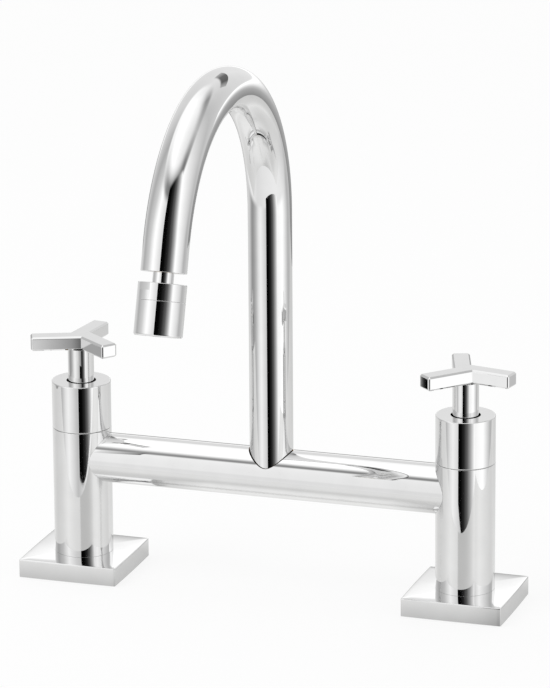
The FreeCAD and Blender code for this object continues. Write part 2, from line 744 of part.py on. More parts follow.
def spout_tube():
    """The gooseneck: upright riser, arc to the front, short straight end."""
    lean = math.radians(SPOUT_END_DEG)
    annulus = disc_face(SPOUT_DIA / 2).cut(disc_face(SPOUT_BORE_RADIUS)).Faces[0]
    foot = annulus.copy()
    foot.translate(V(0, 0, SPOUT_FOOT_Z))
    riser = foot.extrude(V(0, 0, SPOUT_RISER_TOP - SPOUT_FOOT_Z))
    start = annulus.copy()
    start.translate(V(0, 0, SPOUT_RISER_TOP))
    centre = V(0, -SPOUT_ARC_RADIUS, SPOUT_RISER_TOP)
    bend = start.revolve(centre, X_AXIS, 180 - SPOUT_END_DEG)
    end_face = start.copy()
    end_face.rotate(centre, X_AXIS, 180 - SPOUT_END_DEG)
    down = V(0, -math.sin(lean), -math.cos(lean))
    end = end_face.extrude(down * SPOUT_END_LENGTH)
    spout = riser.fuse([bend, end]).removeSplitter()
    tip = spout_end()
    rim = [
        edge for edge in spout.Edges
        if isinstance(edge.Curve, Part.Circle)
        and (edge.Curve.Center - tip).Length < SAME
        and abs(edge.Curve.Radius - SPOUT_DIA / 2) < SAME
    ]
    spout = spout.makeFillet(SPOUT_END_EDGE, rim)
    return spout.cut(lock_screw_hole())


def spout_end():
    """The middle of the spout's end face."""
    lean = math.radians(SPOUT_END_DEG)
    reach = SPOUT_ARC_RADIUS * (1 + math.cos(lean)) + SPOUT_END_LENGTH * math.sin(lean)
    height = SPOUT_ARC_RADIUS * math.sin(lean) - SPOUT_END_LENGTH * math.cos(lean)
    return V(0, -reach, SPOUT_RISER_TOP + height)


def foot_bush():
    """The brass bush in the spout's foot, which turns on the post."""
    bush = tube(SPOUT_BORE_RADIUS - STATIC_GAP, POST_DIA / 2 + RUNNING_GAP,
                SPOUT_FOOT_Z, POST_TOP_Z)
    return bush.cut(lock_screw_hole())


def lock_screw():
    """The headless screw at the back of the riser, whose tip runs in the post's groove."""
    end = SPOUT_DIA / 2 - GRUB_INSET
    screw = cylinder(LOCK_SCREW_DIA / 2, POST_DIA / 2 - LOCK_SCREW_TIP, end)
    screw = screw.cut(hexagon(LOCK_SCREW_KEY, end - HEX_KEY_DEPTH, end + OVERRUN))
    return along_y(screw, LOCK_SCREW_Z)


# ---------------------------------------------------------------- outlet and aerator
# These are made round the middle of the ball, with the spout's end above it.

def ball_centre():
    """The middle of the ball, in line with the spout's end."""
    lean = math.radians(SPOUT_END_DEG)
    return spout_end() - V(0, math.sin(lean), math.cos(lean)) * BALL_DROP


def outlet_plug():
    """The bored plug brazed into the spout's end."""
    top = BALL_DROP + PLUG_LENGTH
    plug = tube(SPOUT_BORE_RADIUS - STATIC_GAP, BALL_BORE / 2, BALL_DROP, top)
    bore_top = BALL_DROP + SHANK_LENGTH + STATIC_GAP
    return plug.cut(cylinder(SHANK_DIA / 2 + STATIC_GAP, BALL_DROP - OVERRUN, bore_top))


def ball_stem():
    """The bored ball with its neck and the shank that screws into the plug."""
    ball = Part.makeSphere(BALL_DIA / 2)
    ball = ball.common(cylinder(BALL_DIA, -BALL_FLAT, BALL_DIA))
    floor = SHANK_DIA / 2 - SHANK_RING_SECTION - SEAL_GAP
    groove_z = BALL_DROP + SHANK_RING_PLACE
    groove = (floor, groove_z, SHANK_RING_SECTION + GROOVE_PLAY)
    neck_top = BALL_DROP - STATIC_GAP
    shank_top = BALL_DROP + SHANK_LENGTH
    stem = lathe(
        [(0, 0), (BALL_NECK_DIA / 2, 0), (BALL_NECK_DIA / 2, neck_top)]
        + [(SHANK_DIA / 2, neck_top)]
        + grooved(SHANK_DIA / 2, [groove])
        + [(SHANK_DIA / 2, shank_top), (0, shank_top)]
    )
    bore = cylinder(BALL_BORE / 2, -BALL_DIA, shank_top + OVERRUN)
    return ball.fuse(stem).removeSplitter().cut(bore)


def shank_ring():
    """The seal ring on the shank, inside the plug."""
    middle = SHANK_DIA / 2 - SHANK_RING_SECTION / 2
    return ring(middle, SHANK_RING_SECTION, BALL_DROP + SHANK_RING_PLACE)


def liner_inner():
    return BALL_DIA / 2 + RUNNING_GAP


def liner_outer():
    return liner_inner() + LINER_THICKNESS


def ball_liner():
    """The slippery ring that holds the ball from above."""
    return sphere_zone(liner_outer(), liner_inner(), LINER_LOW, LINER_HIGH)


def ball_washer():
    """The sealing ring that holds the ball from below."""
    return sphere_zone(liner_outer(), liner_inner(), -WASHER_LOW, -WASHER_HIGH)


def socket_radius():
    return liner_outer() + RUNNING_GAP


def swivel_ring():
    """The upper ring of the head: flared hole, socket, spanner flats, thread below."""
    outer = HEAD_DIA / 2
    skirt = socket_radius() + RING_SKIRT_WALL
    hole = HEAD_HOLE_DIA / 2
    body = lathe([
        (0, -RING_SKIRT_DEPTH),
        (skirt, -RING_SKIRT_DEPTH),
        (skirt, -HEAD_SEAM),
        (outer - HEAD_EDGE / 2, -HEAD_SEAM),
        (outer, -HEAD_SEAM + HEAD_EDGE / 2),
        (outer, HEAD_TOP - HEAD_EDGE),
        (outer - HEAD_EDGE, HEAD_TOP),
        (0, HEAD_TOP),
    ])
    body = body.cut(Part.makeSphere(socket_radius()))
    body = body.cut(cylinder(socket_radius(), -RING_SKIRT_DEPTH - OVERRUN, 0))
    flare_z = math.sqrt(socket_radius() ** 2 - hole ** 2)
    cone = Part.makeCone(hole, hole + HEAD_HOLE_FLARE, HEAD_TOP - flare_z, V(0, 0, flare_z))
    body = body.cut(cone).cut(cylinder(hole, 0, HEAD_TOP))
    flat = math.sqrt(outer ** 2 - (HEAD_FLAT_WIDTH / 2) ** 2)
    for turn in (0, 180):
        cutter = Part.makeBox(outer, HEAD_DIA, 2 * HEAD_FLAT_HEIGHT,
                              V(flat, -outer, HEAD_TOP - HEAD_FLAT_HEIGHT))
        cutter.rotate(V(0, 0, 0), Z_AXIS, HEAD_FLAT_DEG + turn)
        body = body.cut(cutter)
    return body


def insert_bottom():
    return -HEAD_BOTTOM + HOUSING_LIP_HEIGHT + STATIC_GAP


def head_housing():
    """The lower cup of the head, screwed to the ring, with a lip under the insert."""
    outer = HEAD_DIA / 2
    thread = socket_radius() + RING_SKIRT_WALL + 2 * STATIC_GAP
    bore = HOUSING_BORE / 2
    lip = bore - HOUSING_LIP_WIDTH
    seam = -HEAD_SEAM - HEAD_SEAM_GAP
    thread_end = -RING_SKIRT_DEPTH - 2 * STATIC_GAP
    cup = lathe([
        (lip, -HEAD_BOTTOM),
        (outer, -HEAD_BOTTOM),
        (outer, seam - HEAD_EDGE / 2),
        (outer - HEAD_EDGE / 2, seam),
        (thread, seam),
        (thread, thread_end),
        (bore, thread_end),
        (bore, -HEAD_BOTTOM + HOUSING_LIP_HEIGHT),
        (lip, -HEAD_BOTTOM + HOUSING_LIP_HEIGHT),
    ])
    rim = [edge for edge in cup.Edges if is_ring_edge(edge, outer, -HEAD_BOTTOM)]
    return cup.makeFillet(HEAD_BOTTOM_RADIUS, rim)


def seat_ring():
    """The plastic seat under the ball, hollowed for the washer."""
    bore = HOUSING_BORE / 2 - STATIC_GAP
    shoulder = -RING_SKIRT_DEPTH - STATIC_GAP
    recess_z = -SEAT_RING_BOTTOM + SEAT_RECESS_DEPTH
    body = lathe([
        (SEAT_RECESS_DIA / 2, -SEAT_RING_BOTTOM),
        (bore, -SEAT_RING_BOTTOM),
        (bore, shoulder - STATIC_GAP),
        (socket_radius() - STATIC_GAP, shoulder - STATIC_GAP),
        (socket_radius() - STATIC_GAP, -SEAT_RING_TOP),
        (BALL_BORE / 2, -SEAT_RING_TOP),
        (BALL_BORE / 2, recess_z),
        (SEAT_RECESS_DIA / 2, recess_z),
    ])
    return body.cut(Part.makeSphere(socket_radius()))


def gasket_top():
    return -SEAT_RING_BOTTOM - STATIC_GAP


def gasket_inner():
    return HOUSING_BORE / 2 - STATIC_GAP - GASKET_WIDTH


def aerator_gasket():
    """The rubber washer between the seat and the insert."""
    return tube(HOUSING_BORE / 2 - STATIC_GAP, gasket_inner(), gasket_top() - GASKET_HEIGHT,
                gasket_top())


def flow_regulator():
    """The flow disc inside the washer, with a ring of holes."""
    low = gasket_top() - GASKET_HEIGHT
    disc = cylinder(gasket_inner() - STATIC_GAP, low, gasket_top())
    holes = []
    for k in range(REGULATOR_HOLES):
        hole = cylinder(REGULATOR_HOLE_DIA / 2, low - OVERRUN, gasket_top() + OVERRUN)
        hole.translate(V(REGULATOR_HOLE_RING / 2, 0, 0))
        hole.rotate(V(0, 0, 0), Z_AXIS, 360 * k / REGULATOR_HOLES)
        holes.append(hole)
    return disc.cut(Part.makeCompound(holes))


def aerator_insert():
    """The aerator's cup, whose floor is a grid of round holes in a honeycomb."""
    outer = HOUSING_BORE / 2 - STATIC_GAP
    inner = outer - INSERT_WALL
    low = insert_bottom()
    floor = low + GRID_THICKNESS
    top = gasket_top() - GASKET_HEIGHT - STATIC_GAP
    cup = lathe([(0, low), (outer, low), (outer, top), (inner, top), (inner, floor), (0, floor)])
    holes = []
    for row in range(-GRID_RINGS, GRID_RINGS + 1):
        for column in range(-GRID_RINGS, GRID_RINGS + 1):
            if abs(row + column) > GRID_RINGS:
                continue
            hole = cylinder(GRID_HOLE_DIA / 2, low - OVERRUN, floor + OVERRUN)
            across = GRID_PITCH * (column + row / 2)
            along = GRID_PITCH * row * math.sin(math.pi / 3)
            hole.translate(V(across, along, 0))
            holes.append(hole)
    return cup.cut(Part.makeCompound(holes))


# ---------------------------------------------------------------- assembly

def on_pillar(shape, side):
    """Places a piece on its pillar; the right one is turned to face the bridge."""
    if side == "right":
        shape.rotate(V(0, 0, 0), Z_AXIS, 180)
    return shifted(shape, side)


def shifted(shape, side):
    """Moves a piece from the Z axis to its pillar's axis."""
    sign = -1 if side == "left" else 1
    shape.translate(V(sign * INLET_SPACING / 2, 0, 0))
    return shape


def turned(shape, side):
    """Turns a handle's arms to where they rest."""
    angle = LEFT_HANDLE_DEG if side == "left" else RIGHT_HANDLE_DEG
    shape.rotate(V(0, 0, 0), Z_AXIS, angle)
    return shape


def at_outlet(shape):
    """Leans a piece with the spout's end and moves it to the middle of the ball."""
    shape.rotate(V(0, 0, 0), X_AXIS, -SPOUT_END_DEG)
    shape.translate(ball_centre())
    return shape


def save(name, shape):
    shape.exportStep("parts/" + name + ".step")
    solids = len(shape.Solids)
    print(f"{name:24s} solids {solids} volume {shape.Volume:10.2f} valid {shape.isValid()}")


def main():
    os.makedirs("parts", exist_ok=True)
    fixed_to_pillar = {
        "base_plate": base_plate,
        "plate_seal": plate_seal,
        "pillar": pillar,
        "seat_seal": seat_seal,
        "headwork": headwork,
        "collar_ring": collar_ring,
        "fixed_disc": fixed_disc,
        "pillar_sleeve": pillar_sleeve,
        "bridge_nipple": bridge_nipple,
        "bridge_ring": bridge_ring,
    }
    turning_with_handle = {
        "moving_disc": moving_disc,
        "spindle": spindle,
        "spindle_rings": spindle_rings,
        "spindle_clip": spindle_clip,
        "handle_stem": handle_stem,
        "handle_screw": handle_screw,
    }
    for side in ("left", "right"):
        for name, make in fixed_to_pillar.items():
            save(f"{name}_{side}", on_pillar(make(), side))
        for name, make in turning_with_handle.items():
            save(f"{name}_{side}", shifted(make(), side))
        save(f"handle_cross_{side}", shifted(turned(handle_cross(), side), side))

    save("bridge", bridge())
    save("spout_post", spout_post())
    save("post_rings", post_rings())
    save("slip_washer", slip_washer())

    save("spout_tube", spout_tube())
    save("foot_bush", foot_bush())
    save("lock_screw", lock_screw())

    outlet = {
        "outlet_plug": outlet_plug,
        "ball_stem": ball_stem,
        "shank_ring": shank_ring,
        "ball_liner": ball_liner,
        "ball_washer": ball_washer,
        "swivel_ring": swivel_ring,
        "head_housing": head_housing,
        "seat_ring": seat_ring,
        "aerator_gasket": aerator_gasket,
        "flow_regulator": flow_regulator,
        "aerator_insert": aerator_insert,
    }
    for name, make in outlet.items():
        save(name, at_outlet(make()))


main()
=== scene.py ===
import json

import bmesh
import bpy
import numpy as np
from mathutils import Matrix

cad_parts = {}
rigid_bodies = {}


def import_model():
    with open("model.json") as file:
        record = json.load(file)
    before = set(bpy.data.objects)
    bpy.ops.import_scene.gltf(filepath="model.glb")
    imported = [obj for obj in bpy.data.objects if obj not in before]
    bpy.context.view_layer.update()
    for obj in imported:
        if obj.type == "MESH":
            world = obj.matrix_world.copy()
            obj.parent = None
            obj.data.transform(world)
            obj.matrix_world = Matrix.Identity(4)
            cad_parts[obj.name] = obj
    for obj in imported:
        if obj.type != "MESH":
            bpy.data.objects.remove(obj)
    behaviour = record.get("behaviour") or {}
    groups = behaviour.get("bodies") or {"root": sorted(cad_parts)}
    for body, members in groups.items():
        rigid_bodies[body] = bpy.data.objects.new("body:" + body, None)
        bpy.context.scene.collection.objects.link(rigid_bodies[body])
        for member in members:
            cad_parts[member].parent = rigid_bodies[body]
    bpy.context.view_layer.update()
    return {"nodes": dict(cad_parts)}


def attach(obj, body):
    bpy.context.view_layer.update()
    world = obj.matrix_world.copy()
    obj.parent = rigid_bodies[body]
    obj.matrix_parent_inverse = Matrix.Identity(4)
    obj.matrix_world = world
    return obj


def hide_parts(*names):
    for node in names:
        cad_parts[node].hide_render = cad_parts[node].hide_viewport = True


# A two-hole bridge mixer for a kitchen sink, dressed for looks. Sizes are written in
# millimetres and angles in degrees, round the frame's own origin: +X along the bridge
# to the right, -Y to the front, +Z up. Shapes are grids of points, scaled to metres.

scene = bpy.context.scene
bpy.data.batch_remove(bpy.data.objects)
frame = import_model()
MM = 0.001


# ---------------------------------------------------------------- base plates
# A square of forged brass, ground flat, bored for the pillar's spigot, then buffed and
# chrome plated. The wheel has rounded its edges and left its faces a hair crowned.

INLET_SPACING = 203.2
SIDES = {"left": -INLET_SPACING / 2, "right": INLET_SPACING / 2}
PLATE_SIDE = 52.4
PLATE_TOP = 9.6
PLATE_EDGE = 0.6
PLATE_BORE = 12.7155
PLATE_GROOVE = (15.3155, 19.1155, 1.8)   # inner radius, outer radius, depth
PLATE_CROWN = 0.28
FLAT_KEEPER = 0.04       # a row this far past a rounded edge keeps the flat beside it flat
CHROME_BRIGHT = "#EAEAEA"
CHROME_SMUDGED = "#E1E1E1"
BRASS_LIGHT = "#D8B878"
BRASS_DARK = "#B98E4C"


def linear(code):
    """A hex colour as linear light: c / 12.92 up to 0.04045, ((c + 0.055) / 1.055) ** 2.4 above."""
    srgb = np.array([int(code[i:i + 2], 16) for i in (1, 3, 5)]) / 255
    light = np.where(srgb <= 0.04045, srgb / 12.92, ((srgb + 0.055) / 1.055) ** 2.4)
    return (*light.tolist(), 1.0)


def add(tree, kind, inputs=None, **settings):
    """A new node with its settings, and its inputs by name or number: a value or a link."""
    node = tree.nodes.new(kind)
    for name, value in settings.items():
        setattr(node, name, value)
    for name, value in (inputs or {}).items():
        if isinstance(value, bpy.types.NodeSocket):
            tree.links.new(value, node.inputs[name])
        else:
            node.inputs[name].default_value = value
    return node


def new_material(name):
    """An empty material with its surface shader and the object's own coordinates."""
    material = bpy.data.materials.new(name)
    material.use_nodes = True
    tree = material.node_tree
    place = add(tree, "ShaderNodeTexCoord").outputs["Object"]
    return material, tree, tree.nodes["Principled BSDF"], place


# Nickel and chrome plate over buffed brass: a neutral, almost white mirror. Slow waves from
# the buffing wheel, about 20 mm long and a few microns high, bend its reflections, and
# faint wipe marks soften them in places.
chrome, tree, shader, place = new_material("chrome_plate_over_buffed_brass")
smudges = add(tree, "ShaderNodeTexNoise", {"Vector": place, "Scale": 1 / (9 * MM), "Detail": 3.0})
tint = add(tree, "ShaderNodeMix", {"Factor": smudges.outputs["Fac"], 6: linear(CHROME_BRIGHT),
                                   7: linear(CHROME_SMUDGED)}, data_type="RGBA")
gloss = add(tree, "ShaderNodeMapRange", {"Value": smudges.outputs["Fac"], "From Min": 0.4,
                                         "From Max": 0.7, "To Min": 0.015, "To Max": 0.05})
waves = add(tree, "ShaderNodeTexNoise", {"Vector": place, "Scale": 1 / (20 * MM), "Detail": 0.0})
relief = add(tree, "ShaderNodeBump", {"Height": waves.outputs["Fac"], "Distance": 0.004 * MM})
tree.links.new(tint.outputs[2], shader.inputs["Base Color"])
tree.links.new(gloss.outputs["Result"], shader.inputs["Roughness"])
tree.links.new(relief.outputs["Normal"], shader.inputs["Normal"])
shader.inputs["Metallic"].default_value = 1.0

# Machined brass where no plating reaches: warm yellow, half matt, with the rings that a
# cutting tool leaves. Real ones are 0.1 mm apart and are drawn three times as coarse.
brass, tree, shader, place = new_material("machined_brass")
rings = add(tree, "ShaderNodeMapping", {"Vector": place, "Scale": (60, 60, 1 / (0.3 * MM))})
marks = add(tree, "ShaderNodeTexNoise", {"Vector": rings.outputs["Vector"], "Scale": 1.0,
                                         "Detail": 2.0})
tint = add(tree, "ShaderNodeMix", {"Factor": marks.outputs["Fac"], 6: linear(BRASS_LIGHT),
                                   7: linear(BRASS_DARK)}, data_type="RGBA")
relief = add(tree, "ShaderNodeBump", {"Height": marks.outputs["Fac"], "Distance": 0.01 * MM})
tree.links.new(tint.outputs[2], shader.inputs["Base Color"])
tree.links.new(relief.outputs["Normal"], shader.inputs["Normal"])
shader.inputs["Metallic"].default_value = 1.0
shader.inputs["Roughness"].default_value = 0.28


def skin(rows, closed, bare=None):
    """The mesh on a grid of points: face (i, j) joins points (i, j), (i, j + 1),
    (i + 1, j + 1) and (i + 1, j). The last column joins the first, and the last row does too
    if closed. Points that meet are merged. Rows marked bare are brass, the others plated."""
    count, turns = rows.shape[:2]
    index = np.arange(count * turns).reshape(count, turns)
    index = np.vstack([index, index[:1]]) if closed else index
    index = np.hstack([index, index[:, :1]])
    faces = np.stack([index[:-1, :-1], index[:-1, 1:], index[1:, 1:], index[1:, :-1]], -1)
    mesh = bpy.data.meshes.new("skin")
    mesh.from_pydata((rows.reshape(-1, 3) * MM).tolist(), [], faces.reshape(-1, 4).tolist())
    mesh.materials.append(chrome)
    mesh.materials.append(brass)
    if bare is not None:
        both = (bare & np.roll(bare, -1))[:len(faces)]
        mesh.polygons.foreach_set("material_index", np.repeat(both, turns).astype(np.int32))
    shell = bmesh.new()
    shell.from_mesh(mesh)
    bmesh.ops.remove_doubles(shell, verts=shell.verts, dist=0.001 * MM)
    bmesh.ops.recalc_face_normals(shell, faces=shell.faces)
    shell.to_mesh(mesh)
    shell.free()
    return mesh


def fit(name, mesh, body, node):
    """Puts a finished piece on its body, in place of the solid of that node."""
    mesh.name = name
    mesh.shade_smooth()
    mesh.set_sharp_from_angle(angle=np.radians(30))
    item = bpy.data.objects.new(name, mesh)
    scene.collection.objects.link(item)
    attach(item, body)
    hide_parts(node)


def repeated(points, start, count):
    """The points and their copies in equal turns from the start angle, count in all:
    (x cos a - y sin a, x sin a + y cos a)."""
    angles = start + 2 * np.pi / count * np.arange(count)
    turns = [np.array([[np.cos(a), np.sin(a)], [-np.sin(a), np.cos(a)]]) for a in angles]
    return np.vstack([points @ turn for turn in turns])


def square_plate():
    """The plate as rows round the pillar's axis. A column has a point on a square, which
    is set in by the edge radius and whose sides bow out by the crown, and an outward
    direction, which fans out at the corners. A row stands at point + rho * direction, then
    (1 - u) * that + u * (a point on a circle in the same direction from the axis)."""
    corner = PLATE_SIDE / 2 - PLATE_EDGE - PLATE_CROWN
    run = np.linspace(-1, 1, 33)
    fan = np.radians(np.linspace(0, 90, 9))
    line = np.stack([corner + PLATE_CROWN * (1 - run ** 2), corner * run], -1)
    point = repeated(np.vstack([line, np.full((len(fan), 2), corner)]), 0, 4)
    aim = repeated(np.vstack([np.tile([1.0, 0.0], (len(run), 1)),
                              np.stack([np.cos(fan), np.sin(fan)], -1)]), 0, 4)
    round_ = point / np.linalg.norm(point, axis=1, keepdims=True)
    inner, outer, depth = PLATE_GROOVE
    arc = np.radians(np.linspace(0, 90, 9))
    inward = np.linspace(0, 1, 9)
    edge_z = PLATE_TOP - PLATE_CROWN - PLATE_EDGE
    rows = np.vstack([
        [[PLATE_EDGE, 0, outer, 0], [PLATE_EDGE, 0, outer, edge_z - FLAT_KEEPER]],
        np.stack([PLATE_EDGE * np.cos(arc), 0 * arc, outer + 0 * arc,
                  edge_z + PLATE_EDGE * np.sin(arc)], -1),
        np.stack([0 * inward, inward, PLATE_BORE + 0 * inward,
                  PLATE_TOP - PLATE_CROWN * (1 - inward) ** 2], -1),
        [[0, 1, PLATE_BORE, 0], [0, 1, inner, 0], [0, 1, inner, depth],
         [0, 1, outer, depth], [0, 1, outer, 0]],
    ])
    rho, u, radius, height = rows.T[:, :, None, None]
    flat = (point + rho * aim) * (1 - u) + radius * round_ * u
    return np.concatenate([flat, height[..., 0, None] + 0 * flat[..., :1]], -1)


for side, x in SIDES.items():
    plate = skin(square_plate() + [x, 0, 0], closed=True)
    fit(f"plated_base_plate_{side}", plate, "mixer_body", f"base_plate_{side}")


# ---------------------------------------------------------------- deck seals
# A ring of moulded EPDM in the underside of each plate keeps water out of the deck hole.
# The solid's own shape is right, so it stays and only takes its finish.

RUBBER_BLACK = "#1B1B1C"
RUBBER_GREY = "#2C2C2D"


def dress(material, *names):
    """Gives solids that stay as they are their finish."""
    for name in names:
        for held in frame["nodes"][name].material_slots:
            held.material = material


# Black rubber from a steel mould: soft sheen, a fine matt grain of about 0.2 mm and a
# bloom that greys it in patches.
rubber, tree, shader, place = new_material("moulded_rubber")
bloom = add(tree, "ShaderNodeTexNoise", {"Vector": place, "Scale": 1 / (5 * MM), "Detail": 3.0})
grain = add(tree, "ShaderNodeTexNoise", {"Vector": place, "Scale": 1 / (0.2 * MM)})
tint = add(tree, "ShaderNodeMix", {"Factor": bloom.outputs["Fac"], 6: linear(RUBBER_BLACK),
                                   7: linear(RUBBER_GREY)}, data_type="RGBA")
relief = add(tree, "ShaderNodeBump", {"Height": grain.outputs["Fac"], "Distance": 0.02 * MM})
tree.links.new(tint.outputs[2], shader.inputs["Base Color"])
tree.links.new(relief.outputs["Normal"], shader.inputs["Normal"])
shader.inputs["Roughness"].default_value = 0.55
shader.inputs["IOR"].default_value = 1.52

dress(rubber, "plate_seal_left", "plate_seal_right")


# ---------------------------------------------------------------- pillars
# Each pillar is turned from brass bar, screwed to the supply below and bored above for
# the valve. Its side port feeds the bridge. Only its outside is plated.

PILLAR_RADIUS = 15.0
PILLAR_FOOT_EDGE = 0.1
SEAM_Z = 75.54
SEAM_EDGE = 0.3
SPIGOT_RADIUS = 12.5155
INLET_RADIUS, INLET_ROOF_Z = 9.3155, 14.0
WATERWAY_RADIUS = 6.0
VALVE_BORE, VALVE_FLOOR_Z = 10.2, 47.05
THREAD_RADIUS, THREAD_FLOOR_Z = 11.05, 65.0
FLANGE_RADIUS, FLANGE_SEAT_Z = 12.7, 73.8
PORT_RADIUS = 8.55
BRIDGE_Z = 60.0
CORNER_POINTS = 9        # how many points eased gives to each corner
HAIR = 0.01              # tells one radius or height of an outline from the next
ALONG_X, ALONG_Y = [2, 1, 0], [0, 2, 1]  # orders of x, y and z that lay a rod along X or Y


def eased(corners, steps=CORNER_POINTS - 2):
    """A closed outline with rounded corners, each given as (u, v, radius). With unit
    vectors a and b from corner P to its neighbours and h half the angle between them, the
    arc is P + radius * (k + n), where k = (a + b) / |a + b| / sin h and n swings evenly
    from a / tan h - k to b / tan h - k. One more point stands FLAT_KEEPER past each end of
    an arc."""
    corners = np.array(corners, float)
    point, radius = corners[:, None, :2], corners[:, 2, None, None]
    back = np.roll(point, 1, 0) - point
    ahead = np.roll(point, -1, 0) - point
    back /= np.linalg.norm(back, axis=-1, keepdims=True)
    ahead /= np.linalg.norm(ahead, axis=-1, keepdims=True)
    half = np.arccos(np.clip((back * ahead).sum(-1, keepdims=True), -1, 1)) / 2
    middle = (back + ahead) / np.linalg.norm(back + ahead, axis=-1, keepdims=True) / np.sin(half)
    first, last = back / np.tan(half) - middle, ahead / np.tan(half) - middle
    sweep = np.pi - 2 * half
    part = np.linspace(0, 1, steps)[None, :, None]
    swing = (np.sin((1 - part) * sweep) * first + np.sin(part * sweep) * last) / np.sin(sweep)
    reach = radius / np.tan(half) + FLAT_KEEPER * (radius > 0)
    arcs = point + radius * (middle + swing)
    return np.concatenate([point + back * reach, arcs, point + ahead * reach], 1).reshape(-1, 2)


def turned(profile, turns=192):
    """A turned surface: the profile's point (r, z) at angle t is (r cos t, r sin t, z)."""
    t = np.linspace(0, 2 * np.pi, turns, endpoint=False)
    r, z = profile[:, :1], profile[:, 1:]
    return np.stack([r * np.cos(t), r * np.sin(t), z + 0 * t], -1)


def rod(radius, low, high, turns=96):
    """A plain round bar on the Z axis, closed at its ends, which serves as a cutter."""
    return turned(np.array([[0, low], [radius, low], [radius, high], [0, high]], float), turns)


def cutter(rows):
    """A cutter's mesh, all of it bare brass, as the faces that it leaves are."""
    return skin(rows, closed=False, bare=np.ones(len(rows), bool))


def cut(mesh, *tools):
    """The mesh less its cutters, by exact boolean difference."""
    work = bpy.data.objects.new("work", mesh)
    held = [bpy.data.objects.new("cutter", tool) for tool in tools]
    for item in [work, *held]:
        scene.collection.objects.link(item)
    for item in held:
        step = work.modifiers.new("cut", "BOOLEAN")
        step.operation, step.solver, step.object = "DIFFERENCE", "EXACT", item
    graph = bpy.context.evaluated_depsgraph_get()
    result = bpy.data.meshes.new_from_object(work.evaluated_get(graph))
    bpy.data.batch_remove([work, *held])
    return result


pillar_profile = eased([
    (INLET_RADIUS, 0, 0), (SPIGOT_RADIUS, 0, 0), (SPIGOT_RADIUS, PLATE_TOP, 0),
    (PILLAR_RADIUS, PLATE_TOP, PILLAR_FOOT_EDGE), (PILLAR_RADIUS, SEAM_Z, SEAM_EDGE),
    (FLANGE_RADIUS, SEAM_Z, 0), (FLANGE_RADIUS, FLANGE_SEAT_Z, 0),
    (THREAD_RADIUS, FLANGE_SEAT_Z, 0), (THREAD_RADIUS, THREAD_FLOOR_Z, 0),
    (VALVE_BORE, THREAD_FLOOR_Z, 0), (VALVE_BORE, VALVE_FLOOR_Z, 0),
    (WATERWAY_RADIUS, VALVE_FLOOR_Z, 0), (WATERWAY_RADIUS, INLET_ROOF_Z, 0),
    (INLET_RADIUS, INLET_ROOF_Z, 0),
])
inside = pillar_profile[:, 0] < FLANGE_RADIUS + HAIR
for side, x in SIDES.items():
    body = skin(turned(pillar_profile) + [x, 0, 0], closed=True, bare=inside)
    port = rod(PORT_RADIUS, 0, PILLAR_RADIUS + 1)[..., ALONG_X] * [-np.sign(x), 1, 1]
    body = cut(body, cutter(port + [x, 0, BRIDGE_Z]))
    fit(f"plated_pillar_{side}", body, "mixer_body", f"pillar_{side}")


# ---------------------------------------------------------------- valves
# A quarter-turn valve screws into each pillar: a machined brass housing and spindle, two
# lapped alumina discs, rubber rings and a spring steel clip. They keep the solids' shapes.

CERAMIC_WHITE = "#F1EFE9"
CERAMIC_CREAM = "#E6E2D8"
STEEL_LIGHT = "#C9CBCC"
STEEL_DARK = "#AEB1B3"

# Fired and lapped alumina: dense white with a faint cream cloud, smooth and glassy.
ceramic, tree, shader, place = new_material("lapped_alumina")
cloud = add(tree, "ShaderNodeTexNoise", {"Vector": place, "Scale": 1 / (2 * MM), "Detail": 4.0})
tint = add(tree, "ShaderNodeMix", {"Factor": cloud.outputs["Fac"], 6: linear(CERAMIC_WHITE),
                                   7: linear(CERAMIC_CREAM)}, data_type="RGBA")
gloss = add(tree, "ShaderNodeMapRange", {"Value": cloud.outputs["Fac"], "To Min": 0.1,
                                         "To Max": 0.22})
tree.links.new(tint.outputs[2], shader.inputs["Base Color"])
tree.links.new(gloss.outputs["Result"], shader.inputs["Roughness"])
shader.inputs["IOR"].default_value = 1.76

# Drawn stainless steel, tumbled after cutting: grey, satin, with fine scratches along its
# length that are drawn 0.15 mm apart so that they show.
steel, tree, shader, place = new_material("tumbled_stainless_steel")
along = add(tree, "ShaderNodeMapping", {"Vector": place, "Scale": (1 / (0.15 * MM), 300, 300)})
lines = add(tree, "ShaderNodeTexNoise", {"Vector": along.outputs["Vector"], "Scale": 1.0})
tint = add(tree, "ShaderNodeMix", {"Factor": lines.outputs["Fac"], 6: linear(STEEL_LIGHT),
                                   7: linear(STEEL_DARK)}, data_type="RGBA")
gloss = add(tree, "ShaderNodeMapRange", {"Value": lines.outputs["Fac"], "To Min": 0.2,
                                         "To Max": 0.4})
tree.links.new(tint.outputs[2], shader.inputs["Base Color"])
tree.links.new(gloss.outputs["Result"], shader.inputs["Roughness"])
shader.inputs["Metallic"].default_value = 1.0

for side in SIDES:
    dress(rubber, f"seat_seal_{side}", f"collar_ring_{side}", f"spindle_rings_{side}")
    dress(brass, f"headwork_{side}", f"spindle_{side}")
    dress(ceramic, f"fixed_disc_{side}", f"moving_disc_{side}")
    dress(steel, f"spindle_clip_{side}")


# ---------------------------------------------------------------- sleeves
# A thin turned sleeve slides over each valve and continues the pillar above a fine seam.
# Its roof leaves a dark ring round the handle's stem.

SLEEVE_FOOT_Z, SLEEVE_TOP_Z = 75.62, 100.0
SLEEVE_BORE, SLEEVE_ROOF_Z = 13.0, 97.0
SLEEVE_EDGE = 0.5
STEM_HOLE, STEM_HOLE_EDGE = 7.5, 0.2

